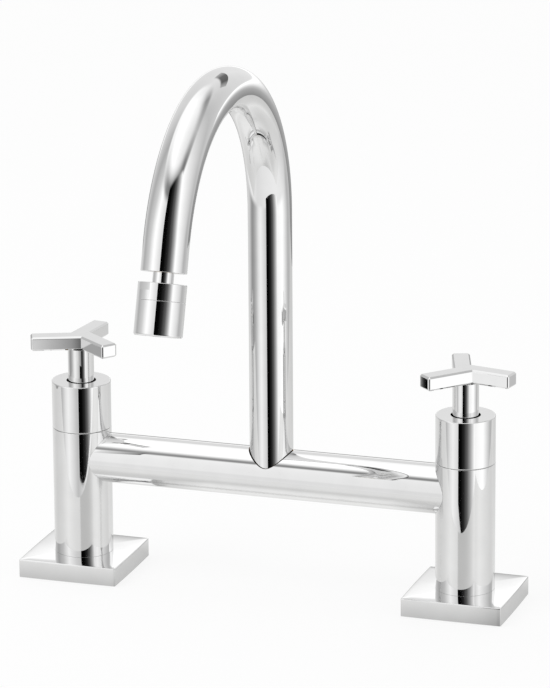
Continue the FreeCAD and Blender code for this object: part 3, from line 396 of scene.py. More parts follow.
sleeve_profile = eased([
    (SLEEVE_BORE, SLEEVE_FOOT_Z, 0), (PILLAR_RADIUS, SLEEVE_FOOT_Z, 1.5 * SEAM_EDGE),
    (PILLAR_RADIUS, SLEEVE_TOP_Z, SLEEVE_EDGE), (STEM_HOLE, SLEEVE_TOP_Z, STEM_HOLE_EDGE),
    (STEM_HOLE, SLEEVE_ROOF_Z, 0), (SLEEVE_BORE, SLEEVE_ROOF_Z, 0),
])
below_roof = sleeve_profile[:, 1] < SLEEVE_ROOF_Z + HAIR
inner_wall = (sleeve_profile[:, 0] < SLEEVE_BORE + HAIR) & below_roof
for side, x in SIDES.items():
    sleeve = skin(turned(sleeve_profile) + [x, 0, 0], closed=True, bare=inner_wall)
    fit(f"plated_sleeve_{side}", sleeve, "mixer_body", f"pillar_sleeve_{side}")


# ---------------------------------------------------------------- bridge
# A round brass bar, bored from both ends, milled to a saddle where it meets each pillar
# and counterbored on top for the spout. Nipples with rubber rings join it to the pillars.

BRIDGE_RADIUS = 12.7
BRIDGE_BORE = 9.0
BRIDGE_WEB = 16.0        # from the middle to the end of each bore
SADDLE_RADIUS = 15.05
POST_HOLE, POST_FLOOR_Z = 8.0, 51.6
RISER_SEAT, RISER_SEAT_Z = 11.5, 61.7    # leaves a dark gap of 0.5 mm round the riser
ABOVE_BAR_Z = 80.0
PASSAGE_RADIUS, PASSAGE_Z = 4.0, 57.0


def bridge_skin():
    """The bar as rows along X. A row has a radius r, a share s of the way to the pillar
    and a plain x. Its points stand at (x + s * saddle, r sin t, BRIDGE_Z + r cos t), where
    saddle = INLET_SPACING / 2 - sqrt(SADDLE_RADIUS ** 2 - (r sin t) ** 2)."""
    share = np.linspace(-1, 1, 161)
    face = np.linspace(BRIDGE_BORE, BRIDGE_RADIUS, 6)
    rows = np.vstack([
        [[0, 0, -BRIDGE_WEB], [BRIDGE_BORE, 0, -BRIDGE_WEB]],
        np.stack([face, -1 + 0 * face, 0 * face], -1),
        np.stack([BRIDGE_RADIUS + 0 * share, share, 0 * share], -1),
        np.stack([face[::-1], 1 + 0 * face, 0 * face], -1),
        [[BRIDGE_BORE, 0, BRIDGE_WEB], [0, 0, BRIDGE_WEB]],
    ])
    r, s, x = rows.T[:, :, None]
    t = np.linspace(0, 2 * np.pi, 192, endpoint=False)
    y = r * np.sin(t)
    saddle = INLET_SPACING / 2 - np.sqrt(SADDLE_RADIUS ** 2 - y ** 2)
    points = np.stack([x + s * saddle, y, BRIDGE_Z + r * np.cos(t)], -1)
    return points, rows[:, 0] < BRIDGE_RADIUS


rows, bare = bridge_skin()
seat = turned(np.array([
    [0, POST_FLOOR_Z], [POST_HOLE, POST_FLOOR_Z], [POST_HOLE, RISER_SEAT_Z],
    [RISER_SEAT, RISER_SEAT_Z], [RISER_SEAT, ABOVE_BAR_Z], [0, ABOVE_BAR_Z],
]))
passage = rod(PASSAGE_RADIUS, -2 * BRIDGE_WEB, 2 * BRIDGE_WEB)[..., ALONG_X] + [0, 0, PASSAGE_Z]
bar = cut(skin(rows, closed=False, bare=bare), cutter(seat), cutter(passage))
fit("plated_bridge", bar, "mixer_body", "bridge")
dress(brass, "bridge_nipple_left", "bridge_nipple_right")
dress(rubber, "bridge_ring_left", "bridge_ring_right")


# ---------------------------------------------------------------- spout post
# A hollow brass post screwed into the bridge carries the spout on two rubber rings and a
# moulded acetal washer, hidden in the counterbore.

ACETAL_LIGHT = "#EFEDE4"
ACETAL_DARK = "#E2DFD2"

# Moulded acetal: milky off-white, waxy, with slow flow clouds and a faint matt skin.
acetal, tree, shader, place = new_material("moulded_acetal")
flow = add(tree, "ShaderNodeTexNoise", {"Vector": place, "Scale": 1 / (4 * MM), "Detail": 2.0})
matt = add(tree, "ShaderNodeTexNoise", {"Vector": place, "Scale": 1 / (0.15 * MM)})
tint = add(tree, "ShaderNodeMix", {"Factor": flow.outputs["Fac"], 6: linear(ACETAL_LIGHT),
                                   7: linear(ACETAL_DARK)}, data_type="RGBA")
relief = add(tree, "ShaderNodeBump", {"Height": matt.outputs["Fac"], "Distance": 0.008 * MM})
tree.links.new(tint.outputs[2], shader.inputs["Base Color"])
tree.links.new(relief.outputs["Normal"], shader.inputs["Normal"])
shader.inputs["Roughness"].default_value = 0.38
shader.inputs["IOR"].default_value = 1.48

dress(brass, "spout_post")
dress(rubber, "post_rings")
dress(acetal, "slip_washer")


# ---------------------------------------------------------------- spout
# One length of brass tube, bent round a former to a gooseneck and plated outside. A bush
# in its foot turns on the post, and a headless screw at the back keeps it there.

SPOUT_RADIUS = 11.0
SPOUT_BORE = 9.5
FOOT_Z = 64.0
ARC_Z = 196.5
ARC_RADIUS = 79.0
END_DEG = 18.0           # how far the end still leans out from straight down
END_LENGTH = 14.0
FOOT_EDGE, END_EDGE = 0.15, 0.4
RING_STEP = 1.6          # between the rings of points along the tube
LOCK_SCREW_Z, LOCK_HOLE = 78.0, 1.55


def finer(profile, step):
    """The closed outline with points added every step along it, its own points kept."""
    loop = np.vstack([profile, profile[:1]])
    length = np.append(0, np.cumsum(np.linalg.norm(np.diff(loop, axis=0), axis=1)))
    wanted = np.unique(np.append(length, np.arange(0, length[-1], step)))[:-1]
    return np.stack([np.interp(wanted, length, loop[:, k]) for k in range(2)], -1)


def gooseneck(profile, turns=144):
    """A tube carried along its bent axis. A profile point is (r, s), s being the way along
    the axis. With q = (s - riser) / ARC_RADIUS held within the bend, the axis is at
    (0, ARC_RADIUS (cos q - 1), ARC_Z + ARC_RADIUS sin q), plus the straight run left before
    or after the bend, and the ring is r (cos t X + sin t N), with N = (0, cos q, sin q)."""
    r, s = profile[:, :1], profile[:, 1:]
    riser, bend = ARC_Z - FOOT_Z, np.radians(180 - END_DEG)
    q = np.clip((s - riser) / ARC_RADIUS, 0, bend)
    straight = s - riser - ARC_RADIUS * q
    t = np.linspace(0, 2 * np.pi, turns, endpoint=False)
    across, out = r * np.cos(t), r * np.sin(t)
    y = ARC_RADIUS * (np.cos(q) - 1) - straight * np.sin(q) + out * np.cos(q)
    z = ARC_Z + ARC_RADIUS * np.sin(q) + straight * np.cos(q) + out * np.sin(q)
    return np.stack([across, y, z], -1)


spout_length = ARC_Z - FOOT_Z + ARC_RADIUS * np.radians(180 - END_DEG) + END_LENGTH
spout_profile = finer(eased([
    (SPOUT_BORE, 0, 0), (SPOUT_RADIUS, 0, FOOT_EDGE), (SPOUT_RADIUS, spout_length, END_EDGE),
    (SPOUT_BORE, spout_length, 0),
]), RING_STEP)
lock_hole = rod(LOCK_HOLE, 0, 2 * SPOUT_RADIUS)[..., ALONG_Y] * [1, 1, -1] + [0, 0, LOCK_SCREW_Z]
inside = spout_profile[:, 0] < (SPOUT_BORE + SPOUT_RADIUS) / 2
tube = skin(gooseneck(spout_profile), closed=True, bare=inside)
fit("plated_spout", cut(tube, cutter(lock_hole)), "spout", "spout_tube")
dress(brass, "foot_bush")
dress(steel, "lock_screw")


# ---------------------------------------------------------------- outlet and ball
# A bored plug is brazed into the spout's end, and a plated ball on a short neck screws
# into it. The aerator tilts on the ball between two rings. From here to the end of the
# aerator's head, heights run up the outlet's axis from the middle of the ball.

WATER_RADIUS = 2.8
BALL_RADIUS, BALL_FOOT = 8.0, -6.6
NECK_RADIUS, NECK_FOOT, NECK_TOP = 5.0, 6.245, 11.25
SHANK_RADIUS, SHANK_TOP = 4.4, 20.3
GROOVE_RADIUS, GROOVE_FOOT, GROOVE_TOP = 3.48, 15.45, 16.55
PLUG_RADIUS, PLUG_FOOT, PLUG_TOP = 9.45, 11.3, 23.3
SHANK_HOLE, SHANK_HOLE_ROOF = 4.45, 20.35


def at_outlet(rows):
    """Leans a piece by END_DEG with the spout's end and moves it to the middle of the ball:
    y' = y cos a + z sin a, z' = z cos a - y sin a."""
    a = np.radians(END_DEG)
    tip = gooseneck(np.array([[0, spout_length + PLUG_FOOT]]), 1)[0, 0]
    x, y, z = np.moveaxis(rows, -1, 0)
    return np.stack([x, y * np.cos(a) + z * np.sin(a), z * np.cos(a) - y * np.sin(a)], -1) + tip


def ball_line(radius, low, high, steps=24):
    """Corners on a ball's outline from one height to another: (radius cos a, radius sin a)."""
    a = np.linspace(np.arcsin(low / radius), np.arcsin(high / radius), steps)
    return np.stack([radius * np.cos(a), radius * np.sin(a), 0 * a], -1).tolist()


plug_profile = eased([
    (SHANK_HOLE, PLUG_FOOT, 0), (PLUG_RADIUS, PLUG_FOOT, 0), (PLUG_RADIUS, PLUG_TOP, 0),
    (WATER_RADIUS, PLUG_TOP, 0), (WATER_RADIUS, SHANK_HOLE_ROOF, 0),
    (SHANK_HOLE, SHANK_HOLE_ROOF, 0),
])
inside = (plug_profile[:, 0] < SHANK_HOLE + HAIR) | (plug_profile[:, 1] > PLUG_FOOT + HAIR)
plug = skin(at_outlet(turned(plug_profile)), closed=True, bare=inside)
fit("bored_outlet_plug", plug, "spout", "outlet_plug")

stem_profile = eased(
    [(WATER_RADIUS, BALL_FOOT, 0)] + ball_line(BALL_RADIUS, BALL_FOOT, NECK_FOOT)
    + [(NECK_RADIUS, NECK_TOP, 0), (SHANK_RADIUS, NECK_TOP, 0), (SHANK_RADIUS, GROOVE_FOOT, 0),
       (GROOVE_RADIUS, GROOVE_FOOT, 0), (GROOVE_RADIUS, GROOVE_TOP, 0),
       (SHANK_RADIUS, GROOVE_TOP, 0), (SHANK_RADIUS, SHANK_TOP, 0), (WATER_RADIUS, SHANK_TOP, 0)]
)
hidden = stem_profile[:, 0] < SHANK_RADIUS + HAIR
ball = skin(at_outlet(turned(stem_profile, 128)), closed=True, bare=hidden)
fit("plated_ball_stem", ball, "spout", "ball_stem")
dress(rubber, "shank_ring", "ball_washer")
dress(acetal, "ball_liner")


# ---------------------------------------------------------------- aerator head
# Two plated brass shells screwed together round the ball: the upper has two spanner
# flats, the lower holds a moulded seat, a rubber washer, a flow disc and the grid.

HEAD_RADIUS = 11.6
HEAD_TOP, HEAD_FOOT = 6.2, -18.9
TOP_EDGE, FOOT_ROUND, LIP_EDGE, SHELL_EDGE = 0.35, 1.0, 0.15, 0.18
MOUTH_RADIUS, MOUTH_EDGE = 8.6, 0.1
SOCKET_RADIUS, SOCKET_TOP = 8.8, 3.666
UPPER_FOOT, LOWER_TOP = -2.1, -2.2       # the fine gap between the two shells
UPPER_THREAD, UPPER_END = 10.2, -7.0
LOWER_THREAD, LOWER_LEDGE = 10.3, -7.1
LOWER_BORE = 9.9
LIP_RADIUS, LIP_TOP = 8.9, -18.3
FLAT_WIDTH = 6.5
FLAT_HEIGHT = 3.7
FLAT_DEG = 242.0


def flat_cutter(turn):
    """A box beyond the chord that is FLAT_WIDTH long, turned about the head's axis. It
    reaches a head's radius further than the chord and the top, and as far to each side."""
    chord = np.sqrt(HEAD_RADIUS ** 2 - (FLAT_WIDTH / 2) ** 2)
    low, high = HEAD_TOP - FLAT_HEIGHT, HEAD_TOP + HEAD_RADIUS
    x = chord + HEAD_RADIUS * np.array([0, 1, 1, 0])
    y = HEAD_RADIUS * np.array([-1, -1, 1, 1])
    a = np.radians(turn)
    ring = np.stack([x * np.cos(a) - y * np.sin(a), x * np.sin(a) + y * np.cos(a)], -1)
    ends = np.tile(ring.mean(0), (4, 1))
    heights = np.repeat([low, low, high, high], 4).reshape(4, 4, 1)
    return np.concatenate([np.stack([ends, ring, ring, ends]), heights], -1)


ring_profile = eased(
    [(SOCKET_RADIUS, UPPER_END, 0), (UPPER_THREAD, UPPER_END, 0), (UPPER_THREAD, UPPER_FOOT, 0),
     (HEAD_RADIUS, UPPER_FOOT, SHELL_EDGE), (HEAD_RADIUS, HEAD_TOP, TOP_EDGE),
     (MOUTH_RADIUS, HEAD_TOP, MOUTH_EDGE)]
    + ball_line(SOCKET_RADIUS, SOCKET_TOP, 0.0)
)
within = ring_profile[:, 0] < SOCKET_RADIUS + HAIR
upper = skin(at_outlet(turned(ring_profile)), closed=True, bare=within)
flats = [skin(at_outlet(flat_cutter(turn)), closed=False) for turn in (FLAT_DEG, FLAT_DEG + 180)]
fit("plated_swivel_ring", cut(upper, *flats), "aerator_head", "swivel_ring")

housing_profile = eased([
    (LIP_RADIUS, HEAD_FOOT, LIP_EDGE), (HEAD_RADIUS, HEAD_FOOT, FOOT_ROUND),
    (HEAD_RADIUS, LOWER_TOP, SHELL_EDGE), (LOWER_THREAD, LOWER_TOP, 0),
    (LOWER_THREAD, LOWER_LEDGE, 0), (LOWER_BORE, LOWER_LEDGE, 0), (LOWER_BORE, LIP_TOP, 0),
    (LIP_RADIUS, LIP_TOP, 0),
])
above_lip = housing_profile[:, 1] > LIP_TOP - HAIR
threaded = (housing_profile[:, 0] < LOWER_THREAD + HAIR) & above_lip
lower = skin(at_outlet(turned(housing_profile)), closed=True, bare=threaded)
fit("plated_head_housing", lower, "aerator_head", "head_housing")
dress(acetal, "seat_ring", "flow_regulator", "aerator_insert")
dress(rubber, "aerator_gasket")


# ---------------------------------------------------------------- handle stems
# A plated brass stem fits the splined spindle of each valve and is held by a steel grub
# screw at its back. The peg on its top is pressed into the cross above.

STEM_RADIUS = 6.6
STEM_FOOT_Z, STEM_FOOT_EDGE = 93.2, 0.25
STEM_TOP_Z, STEM_TOP_EDGE = 117.15, 0.1
SPLINE_HOLE, SPLINE_ROOF_Z = 4.05, 105.95
PEG_RADIUS, PEG_TOP_Z = 4.0, 121.2
GRUB_HOLE, GRUB_Z = 2.05, 103.5

# The outline begins and ends on the axis, so those two corners keep one point each.
handle_profile = eased([
    (0, SPLINE_ROOF_Z, 0), (SPLINE_HOLE, SPLINE_ROOF_Z, 0), (SPLINE_HOLE, STEM_FOOT_Z, 0),
    (STEM_RADIUS, STEM_FOOT_Z, STEM_FOOT_EDGE), (STEM_RADIUS, STEM_TOP_Z, STEM_TOP_EDGE),
    (PEG_RADIUS, STEM_TOP_Z, 0), (PEG_RADIUS, PEG_TOP_Z, 0), (0, PEG_TOP_Z, 0),
])[CORNER_POINTS - 1:1 - CORNER_POINTS]
inside = handle_profile[:, 0] < SPLINE_HOLE + HAIR
for side, x in SIDES.items():
    stem = skin(turned(handle_profile, 128) + [x, 0, 0], closed=False, bare=inside)
    hole = rod(GRUB_HOLE, 0, STEM_RADIUS + 1)[..., ALONG_Y] * [1, 1, -1] + [x, 0, GRUB_Z]
    stem = cut(stem, cutter(hole))
    fit(f"plated_handle_stem_{side}", stem, f"handle_{side}", f"handle_stem_{side}")
    dress(steel, f"handle_screw_{side}")


# ---------------------------------------------------------------- handle crosses
# Three square bars forged in one piece with the hub, each set a little to the left of the
# axis, so that the cross turns like a pinwheel. Its edges are buffed round and plated.

CROSS_LOW, CROSS_HIGH = 117.2, 124.4
ARM_REACH = 25.3
ARM_RIGHT, ARM_LEFT = -3.0, 6.0      # the arm's two sides, as seen along it from the axis
ARM_EDGE = 0.9                       # width of the bevel along every edge
ARM_INSET, ARM_SOFT = 1.15, 0.3      # corner radius, and how soft the bevel's own edges are
CROSS_HOLE = (4.05, 121.25)          # radius and roof of the hole for the stem's peg
REST_DEG = {"left": 82.0, "right": 108.5}


def cross_rows(turn):
    """The cross as rows round its axis. A column has a point on the outline drawn in by
    the edge radius, and a direction: across the side, fanned out at an arm's corner, or the
    mitre (m + n) / (1 + m.n) between the two sides that meet at the hub. A row stands at
    u * (point + rho * direction) + (1 - u) * (a point on a circle in the same direction)."""
    low, high, tip = ARM_RIGHT + ARM_INSET, ARM_LEFT - ARM_INSET, ARM_REACH - ARM_INSET
    third = np.radians(120)
    m, n = np.array([0.0, 1.0]), np.array([np.sin(third), -np.cos(third)])
    mitre = (m + n) / (1 + m @ n)
    hub_x = (-low + high * np.cos(third)) / np.sin(third)
    near = np.array([hub_x, high])
    before = np.array([near @ [np.cos(third), np.sin(third)], low])
    inner = np.linspace(0, 1, 12)[1:-1, None]
    fan = np.radians(np.linspace(0, 90, 9))
    first, last = np.array([tip, low]), np.array([tip, high])
    back = np.array([FLAT_KEEPER, 0])
    side_a = before + (first - back - before) * np.append(inner, [[1]], 0)
    side_b = last - back + (near - last + back) * np.append([[0]], inner, 0)
    along = np.array([FLAT_KEEPER, (high - low) / 2, high - low - FLAT_KEEPER])
    cap = np.stack([tip + 0 * along, low + along], -1)
    point = np.vstack([side_a, np.tile(first, (len(fan), 1)), cap,
                       np.tile(last, (len(fan), 1)), side_b, near])
    aim = np.vstack([
        np.tile([0.0, -1.0], (len(side_a), 1)), np.stack([np.sin(fan), -np.cos(fan)], -1),
        np.tile([1.0, 0.0], (len(cap), 1)), np.stack([np.cos(fan), np.sin(fan)], -1),
        np.tile([0.0, 1.0], (len(side_b), 1)), mitre,
    ])
    point, aim = repeated(point, np.radians(turn), 3), repeated(aim, np.radians(turn), 3)
    round_ = point / np.linalg.norm(point, axis=1, keepdims=True)
    edge = ARM_INSET - ARM_EDGE
    # The rim leaves out the outline's two corners on the axis, which rows place themselves.
    rim = eased([(0, CROSS_HIGH, 0), (edge, CROSS_HIGH, ARM_SOFT),
                 (ARM_INSET, CROSS_HIGH - ARM_EDGE, ARM_SOFT),
                 (ARM_INSET, CROSS_LOW + ARM_EDGE, ARM_SOFT), (edge, CROSS_LOW, ARM_SOFT),
                 (0, CROSS_LOW, 0)])[CORNER_POINTS:-CORNER_POINTS]
    hole, roof = CROSS_HOLE
    rows = np.vstack([
        [[0, 0, 0, CROSS_HIGH], [0, 0.6, 0, CROSS_HIGH], [0, 1, 0, CROSS_HIGH]],
        np.stack([rim[:, 0], 1 + 0 * rim[:, 0], 0 * rim[:, 0], rim[:, 1]], -1),
        [[0, 1, hole, CROSS_LOW], [0, 0, hole, CROSS_LOW], [0, 0, hole, roof], [0, 0, 0, roof]],
    ])
    rho, u, radius, height = rows.T[:, :, None, None]
    flat = (point + rho * aim) * u + radius * round_ * (1 - u)
    return np.concatenate([flat, height[..., 0, None] + 0 * flat[..., :1]], -1)


for side, x in SIDES.items():
    cross = skin(cross_rows(REST_DEG[side]) + [x, 0, 0], closed=False)
    fit(f"plated_cross_{side}", cross, f"handle_{side}", f"handle_cross_{side}")


# ---------------------------------------------------------------- floor and studio
# A pale floor carries the shadow. The light is a tent of white cloth round the tap. Five
# cards that only the mirror finish sees stand in it: a table, a dark opening in front, a
# drape and a rail behind, and a small one by the left handle.

FLOOR_WHITE = "#F4F4F4"
FLOOR_GREY = "#F1F1F1"
FLOOR_Z, TABLE_Z = -0.4, -0.1
TABLE_WHITE = "#FDFDFC"
TENT_STRENGTH = 1.32
EVEN = [(0, "#FFFFFF"), (1, "#FFFFFF")]


def card(name, corners, material):
    """A flat sheet between four corners, in millimetres: (1 - u)(1 - v) A + u (1 - v) B +
    u v C + (1 - u) v D."""
    a, b, c, d = np.array(corners, float)
    steps = np.linspace(0, 1, 9)
    u, v = np.meshgrid(steps, steps, indexing="ij")
    index = np.arange(u.size).reshape(u.shape)
    u, v = u[..., None], v[..., None]
    grid = (1 - u) * (1 - v) * a + u * (1 - v) * b + u * v * c + (1 - u) * v * d
    faces = np.stack([index[:-1, :-1], index[1:, :-1], index[1:, 1:], index[:-1, 1:]], -1)
    mesh = bpy.data.meshes.new(name)
    mesh.from_pydata((grid.reshape(-1, 3) * MM).tolist(), [], faces.reshape(-1, 4).tolist())
    mesh.materials.append(material)
    mesh.uv_layers.new(name="sheet")
    share = np.stack([u[..., 0], v[..., 0]], -1).reshape(-1, 2)
    corner = np.empty(len(mesh.loops), np.int32)
    mesh.loops.foreach_get("vertex_index", corner)
    mesh.uv_layers["sheet"].data.foreach_set("uv", share[corner].ravel().astype(np.float32))
    item = bpy.data.objects.new(name, mesh)
    scene.collection.objects.link(item)
    return item


# Pale painted board. To the camera most of its light is its own, so that it reads as
# white and still keeps a soft shadow.
floor_paint, tree, shader, place = new_material("pale_painted_board")
speck = add(tree, "ShaderNodeTexNoise", {"Vector": place, "Scale": 1 / (60 * MM)})
tint = add(tree, "ShaderNodeMix", {"Factor": speck.outputs["Fac"], 6: linear(FLOOR_WHITE),
                                   7: linear(FLOOR_GREY)}, data_type="RGBA")
tree.links.new(tint.outputs[2], shader.inputs["Base Color"])
shader.inputs["Roughness"].default_value = 0.9
shader.inputs["Specular IOR Level"].default_value = 0.1
seen = add(tree, "ShaderNodeLightPath")
share = add(tree, "ShaderNodeMath", {0: seen.outputs["Is Camera Ray"], 1: 0.85},
            operation="MULTIPLY")
own = add(tree, "ShaderNodeEmission", {"Color": (1, 1, 1, 1), "Strength": 1.0})
both = add(tree, "ShaderNodeMixShader", {0: share.outputs[0], 1: shader.outputs[0],
                                         2: own.outputs[0]})
tree.links.new(both.outputs[0], tree.nodes["Material Output"].inputs["Surface"])
floor = card("floor", [(-3000, -3000, FLOOR_Z), (3000, -3000, FLOOR_Z), (3000, 3000, FLOOR_Z),
                       (-3000, 3000, FLOOR_Z)], floor_paint)
floor.visible_glossy = False

# White table under the tap, half gloss, as the mirror finish sees it. Its glow is painted
# light in place of lighting, and a painted contact shadow greys it beside the two plates.
# It ends a little before the tap.
laminate, tree, shader, place = new_material("white_laminate_painted_light_and_shade")
tree.nodes.remove(shader)
split = add(tree, "ShaderNodeSeparateXYZ", {"Vector": place})
sideways = add(tree, "ShaderNodeMath", {0: split.outputs["X"]}, operation="ABSOLUTE")
sideways = add(tree, "ShaderNodeMath", {0: sideways.outputs[0], 1: -INLET_SPACING / 2 * MM})
sideways = add(tree, "ShaderNodeMath", {0: sideways.outputs[0]}, operation="ABSOLUTE")
forwards = add(tree, "ShaderNodeMath", {0: split.outputs["Y"]}, operation="ABSOLUTE")
beside = add(tree, "ShaderNodeMath", {0: sideways.outputs[0], 1: forwards.outputs[0]},
             operation="MAXIMUM")
# Painted contact shadow: the glow is dimmest at the plates' edges and full 26 mm out from them.
shade = add(tree, "ShaderNodeMapRange", {"Value": beside.outputs[0], "From Min": 26 * MM,
                                         "From Max": 52 * MM, "To Min": 0.36, "To Max": 0.62})
glow = add(tree, "ShaderNodeEmission", {"Color": linear(TABLE_WHITE),
                                        "Strength": shade.outputs["Result"]})
gloss = add(tree, "ShaderNodeBsdfGlossy", {"Color": (0.3, 0.3, 0.3, 1), "Roughness": 0.22})
both = add(tree, "ShaderNodeAddShader", {0: glow.outputs[0], 1: gloss.outputs[0]})
tree.links.new(both.outputs[0], tree.nodes["Material Output"].inputs["Surface"])
table = card("table", [(-430, -142, TABLE_Z), (296, -142, TABLE_Z), (420, 900, TABLE_Z),
                       (-430, 900, TABLE_Z)], laminate)


def ramp(tree, value, stops):
    """A colour ramp of (place, hex) stops, with its first and last at the ends."""
    node = add(tree, "ShaderNodeValToRGB", {"Fac": value})
    node.color_ramp.elements.remove(node.color_ramp.elements[1])
    for number, (spot, code) in enumerate(stops):
        stop = node.color_ramp.elements[0] if number == 0 else node.color_ramp.elements.new(spot)
        stop.position, stop.color = spot, linear(code)
    return node.outputs["Color"]


def glowing(name, across, upwards, fade):
    """A cloth that glows with painted light, not lit by any lamp: its grey is a ramp of
    (place, hex) from its left edge to its right, times another from its foot to its top, and
    it turns clear over the last share of its height."""
    material = bpy.data.materials.new(name)
    material.use_nodes = True
    tree = material.node_tree
    tree.nodes.remove(tree.nodes["Principled BSDF"])
    sheet = add(tree, "ShaderNodeUVMap", uv_map="sheet").outputs["UV"]
    split = add(tree, "ShaderNodeSeparateXYZ", {"Vector": sheet})
    grey = add(tree, "ShaderNodeMix", {"Factor": 1.0, 6: ramp(tree, split.outputs["X"], across),
                                       7: ramp(tree, split.outputs["Y"], upwards)},
               data_type="RGBA", blend_type="MULTIPLY")
    glow = add(tree, "ShaderNodeEmission", {"Color": grey.outputs[2],
                                            "Strength": TENT_STRENGTH})
    clear = add(tree, "ShaderNodeBsdfTransparent")
    end = add(tree, "ShaderNodeMapRange", {"Value": split.outputs["Y"], "From Min": 1 - fade,
                                           "From Max": 1.0}, interpolation_type="SMOOTHSTEP")
    mixed = add(tree, "ShaderNodeMixShader", {0: end.outputs["Result"], 1: glow.outputs[0],
                                              2: clear.outputs[0]})
    tree.links.new(mixed.outputs[0], tree.nodes["Material Output"].inputs["Surface"])
    return material


# The opening in front of the tap, a glowing sheet with painted shade: black at its left
# edge, fading to the white cloth at its right, and soft at its top.
opening_dark = glowing("dark_opening_between_white_cloths",
                       [(0, "#010101"), (0.23, "#080808"), (0.40, "#262626"), (0.57, "#5A5A5A"),
                        (0.73, "#9E9E9E"), (0.85, "#CDCDCD"), (0.94, "#F0F0F0"), (1, "#F8F8F8")],
                       EVEN, 0.1)
opening = card("opening", [(-20, -600, -140), (518, -324, -112), (518, -324, 870),
                           (-20, -600, 870)], opening_dark)

# A drape behind and a dark rail above it, glowing sheets with painted light: the drape's
# painted light is grey at its foot and white at its top, the rail's darker in its middle.
drape_grey = glowing("grey_drape", EVEN,
                     [(0, "#848484"), (0.45, "#A2A2A2"), (0.60, "#BCBCBC"), (0.74, "#E6E6E6"),
                      (0.84, "#FFFFFF"), (1, "#FFFFFF")], 0.08)
drape = card("drape", [(-800, 600, 0), (500, 600, 0), (500, 600, 290), (-800, 600, 290)],
             drape_grey)
rail_dark = glowing("dark_rail", [(0, "#AAAAAA"), (0.3, "#666666"), (0.7, "#5A5A5A"),
                                  (1, "#AAAAAA")], EVEN, 0.3)
rail = card("rail", [(-70, 400, 500), (240, 400, 500), (240, 400, 640), (-70, 400, 640)],
            rail_dark)

# A small grey card near the left handle opens up the long front face of its arm. It glows
# with painted light, paler at its left edge and darker at its right.
card_grey = glowing("grey_hand_card", [(0, "#DCDCDC"), (0.5, "#B4B4B4"), (0.85, "#909090"),
                                       (1, "#606060")], EVEN, 0.05)
hand_card = card("hand_card", [(-112, -60, 96), (-82, -45, 96), (-82, -45, 118),
                               (-112, -60, 118)], card_grey)

for prop in (table, opening, drape, rail, hand_card):
    prop.visible_camera = False
    prop.visible_diffuse = False
    prop.visible_shadow = False
    prop.visible_transmission = False

# The tent: light that depends on its direction only. Ramps go round from behind, by the
# left, the front and the right: one for what lies below, one a little under eye level, one
# at eye level and one for the seam, about 50 degrees up. Above the seam the cloth is white
# on the left and greyer on the right. Many of the greys are the photograph's own: they were
# measured on its chrome, by the direction that each place reflects, and some of them were
# then changed.
world = bpy.data.worlds.new("tent")
scene.world = world
world.use_nodes = True
tree = world.node_tree
aim = add(tree, "ShaderNodeSeparateXYZ",
          {"Vector": add(tree, "ShaderNodeTexCoord").outputs["Generated"]})
front = add(tree, "ShaderNodeMath", {0: aim.outputs["Y"], 1: -1.0}, operation="MULTIPLY")
bearing = add(tree, "ShaderNodeMath", {0: aim.outputs["X"], 1: front.outputs[0]},
              operation="ARCTAN2")
turn = add(tree, "ShaderNodeMath", {0: bearing.outputs[0], 1: 1 / (2 * np.pi), 2: 0.5},
           operation="MULTIPLY_ADD")


def round_tent(*stops):
    """A ramp round the horizon, from stops of (bearing in degrees from the front, hex)."""
    return ramp(tree, turn.outputs[0], [(angle / 360 + 0.5, code) for angle, code in stops])


def rising(low, high, first, second):
    """The first colour below one height of the direction, the second above the other."""
    share = add(tree, "ShaderNodeMapRange", {"Value": aim.outputs["Z"], "From Min": low,
                                             "From Max": high}, interpolation_type="SMOOTHSTEP")
    return add(tree, "ShaderNodeMix", {"Factor": share.outputs["Result"], 6: first, 7: second},
               data_type="RGBA").outputs[2]


floor_cloth = round_tent((-180, "#D8D8D8"), (-90, "#E6E6E6"), (-50, "#D6D6D6"), (-10, "#DEDEDE"),
                         (60, "#E6E6E6"), (90, "#E2E2E2"), (130, "#C8C8C8"), (180, "#D8D8D8"))
low_cloth = round_tent((-180, "#D7D7D7"), (-115, "#C4C4C4"), (-90, "#8C8C8C"), (-75, "#9A9A9A"),
                       (-60, "#B8B8B8"), (-45, "#DEDEDE"), (-33, "#ECECEC"), (-12, "#D2D2D2"),
                       (2, "#B8B8B8"), (60, "#F4F4F4"), (85, "#FEFEFE"), (105, "#D8D8D8"),
                       (124, "#AEAEAE"), (145, "#BABABA"), (180, "#D7D7D7"))
eye_cloth = round_tent((-180, "#DBDBDB"), (-130, "#CCCCCC"), (-100, "#A8A8A8"), (-70, "#C8C8C8"),
                       (-42, "#FFFFFF"), (-12, "#DCDCDC"), (20, "#C4C4C4"), (48, "#D4D4D4"),
                       (72, "#FFFFFF"), (95, "#E4E4E4"), (130, "#B8B8B8"), (155, "#D0D0D0"),
                       (180, "#DBDBDB"))
seam_cloth = round_tent((-180, "#E4E4E4"), (-140, "#FEFEFE"), (-95, "#F0F0F0"), (-65, "#D4D4D4"),
                        (-28, "#868686"), (20, "#505050"), (50, "#838383"), (72, "#767676"),
                        (110, "#B6B6B6"), (150, "#8C8C8C"), (180, "#E4E4E4"))
over = add(tree, "ShaderNodeMath", {0: aim.outputs["X"], 1: -0.5, 2: 0.94},
           operation="MULTIPLY_ADD")
roof_cloth = add(tree, "ShaderNodeClamp", {"Value": over.outputs[0], "Min": 0.6, "Max": 1.05})
colour = rising(-0.42, -0.34, floor_cloth, low_cloth)
colour = rising(-0.16, -0.02, colour, eye_cloth)
colour = rising(0.66, 0.75, colour, seam_cloth)
colour = rising(0.78, 0.93, colour, roof_cloth.outputs[0])
tent_light = add(tree, "ShaderNodeBackground", {"Color": colour, "Strength": TENT_STRENGTH})
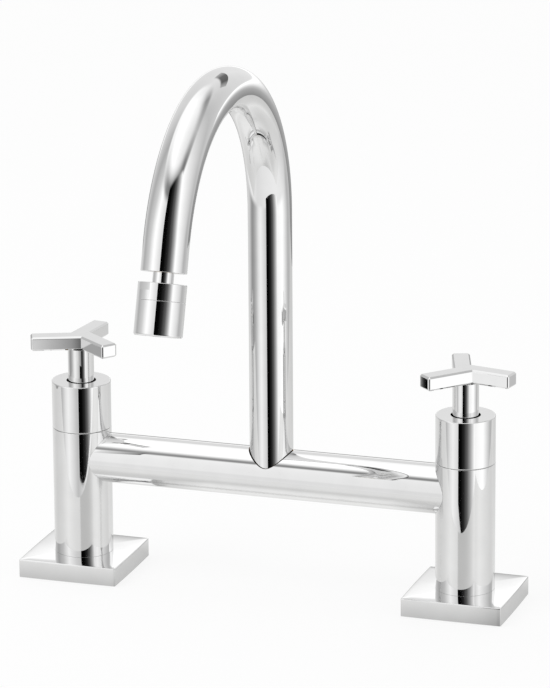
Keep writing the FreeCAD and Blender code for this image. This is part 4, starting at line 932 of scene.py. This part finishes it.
plain_white = add(tree, "ShaderNodeBackground", {"Color": (1, 1, 1, 1), "Strength": 1.0})
ray = add(tree, "ShaderNodeLightPath")
backdrop = add(tree, "ShaderNodeMixShader", {0: ray.outputs["Is Camera Ray"],
                                             1: tent_light.outputs[0], 2: plain_white.outputs[0]})
tree.links.new(backdrop.outputs[0], tree.nodes["World Output"].inputs["Surface"])

# One large soft lamp, high on the left, gives the floor's shadow its side.
lamp_data = bpy.data.lights.new("soft_lamp", "AREA")
lamp_data.shape, lamp_data.size, lamp_data.energy = "DISK", 0.9, 6.0
lamp = bpy.data.objects.new("soft_lamp", lamp_data)
scene.collection.objects.link(lamp)
lamp.location = (-0.9, -0.7, 1.5)
lamp.rotation_mode = "QUATERNION"
lamp.rotation_quaternion = (-lamp.location).to_track_quat("-Z", "Y")
lamp.visible_glossy = False


# ---------------------------------------------------------------- camera
# A long lens, 2.6 m away, turned 18 degrees to the right of the front and looking down
# by 17 degrees. The place is the one that the pieces' own corners gave.

CAMERA_DEG = (18.313, 16.566, -0.3876)     # bearing, height and roll
CAMERA_AIM = (0.0021977, 0.0, 0.127818)
CAMERA_DISTANCE = 2.58403
IMAGE_HEIGHT, FOCAL_PIXELS = 688, 5163.878
SENSOR = 36.0                              # along the picture's longer side, its height

bearing, height, roll = np.radians(CAMERA_DEG)
forward = np.array([-np.sin(bearing) * np.cos(height), np.cos(bearing) * np.cos(height),
                    -np.sin(height)])
level = np.array([np.cos(bearing), np.sin(bearing), 0.0])
upright = np.cross(level, forward)
right = level * np.cos(roll) + upright * np.sin(roll)
up = upright * np.cos(roll) - level * np.sin(roll)
eye = np.array(CAMERA_AIM) - forward * CAMERA_DISTANCE
lens = bpy.data.cameras.new("camera")
lens.sensor_width, lens.lens = SENSOR, SENSOR * FOCAL_PIXELS / IMAGE_HEIGHT
camera = bpy.data.objects.new("camera", lens)
scene.collection.objects.link(camera)
axes = np.eye(4)
axes[:3] = np.stack([right, up, -forward, eye], 1)
camera.matrix_world = Matrix(axes.tolist())
scene.camera = camera
scene.view_settings.view_transform = "Standard"
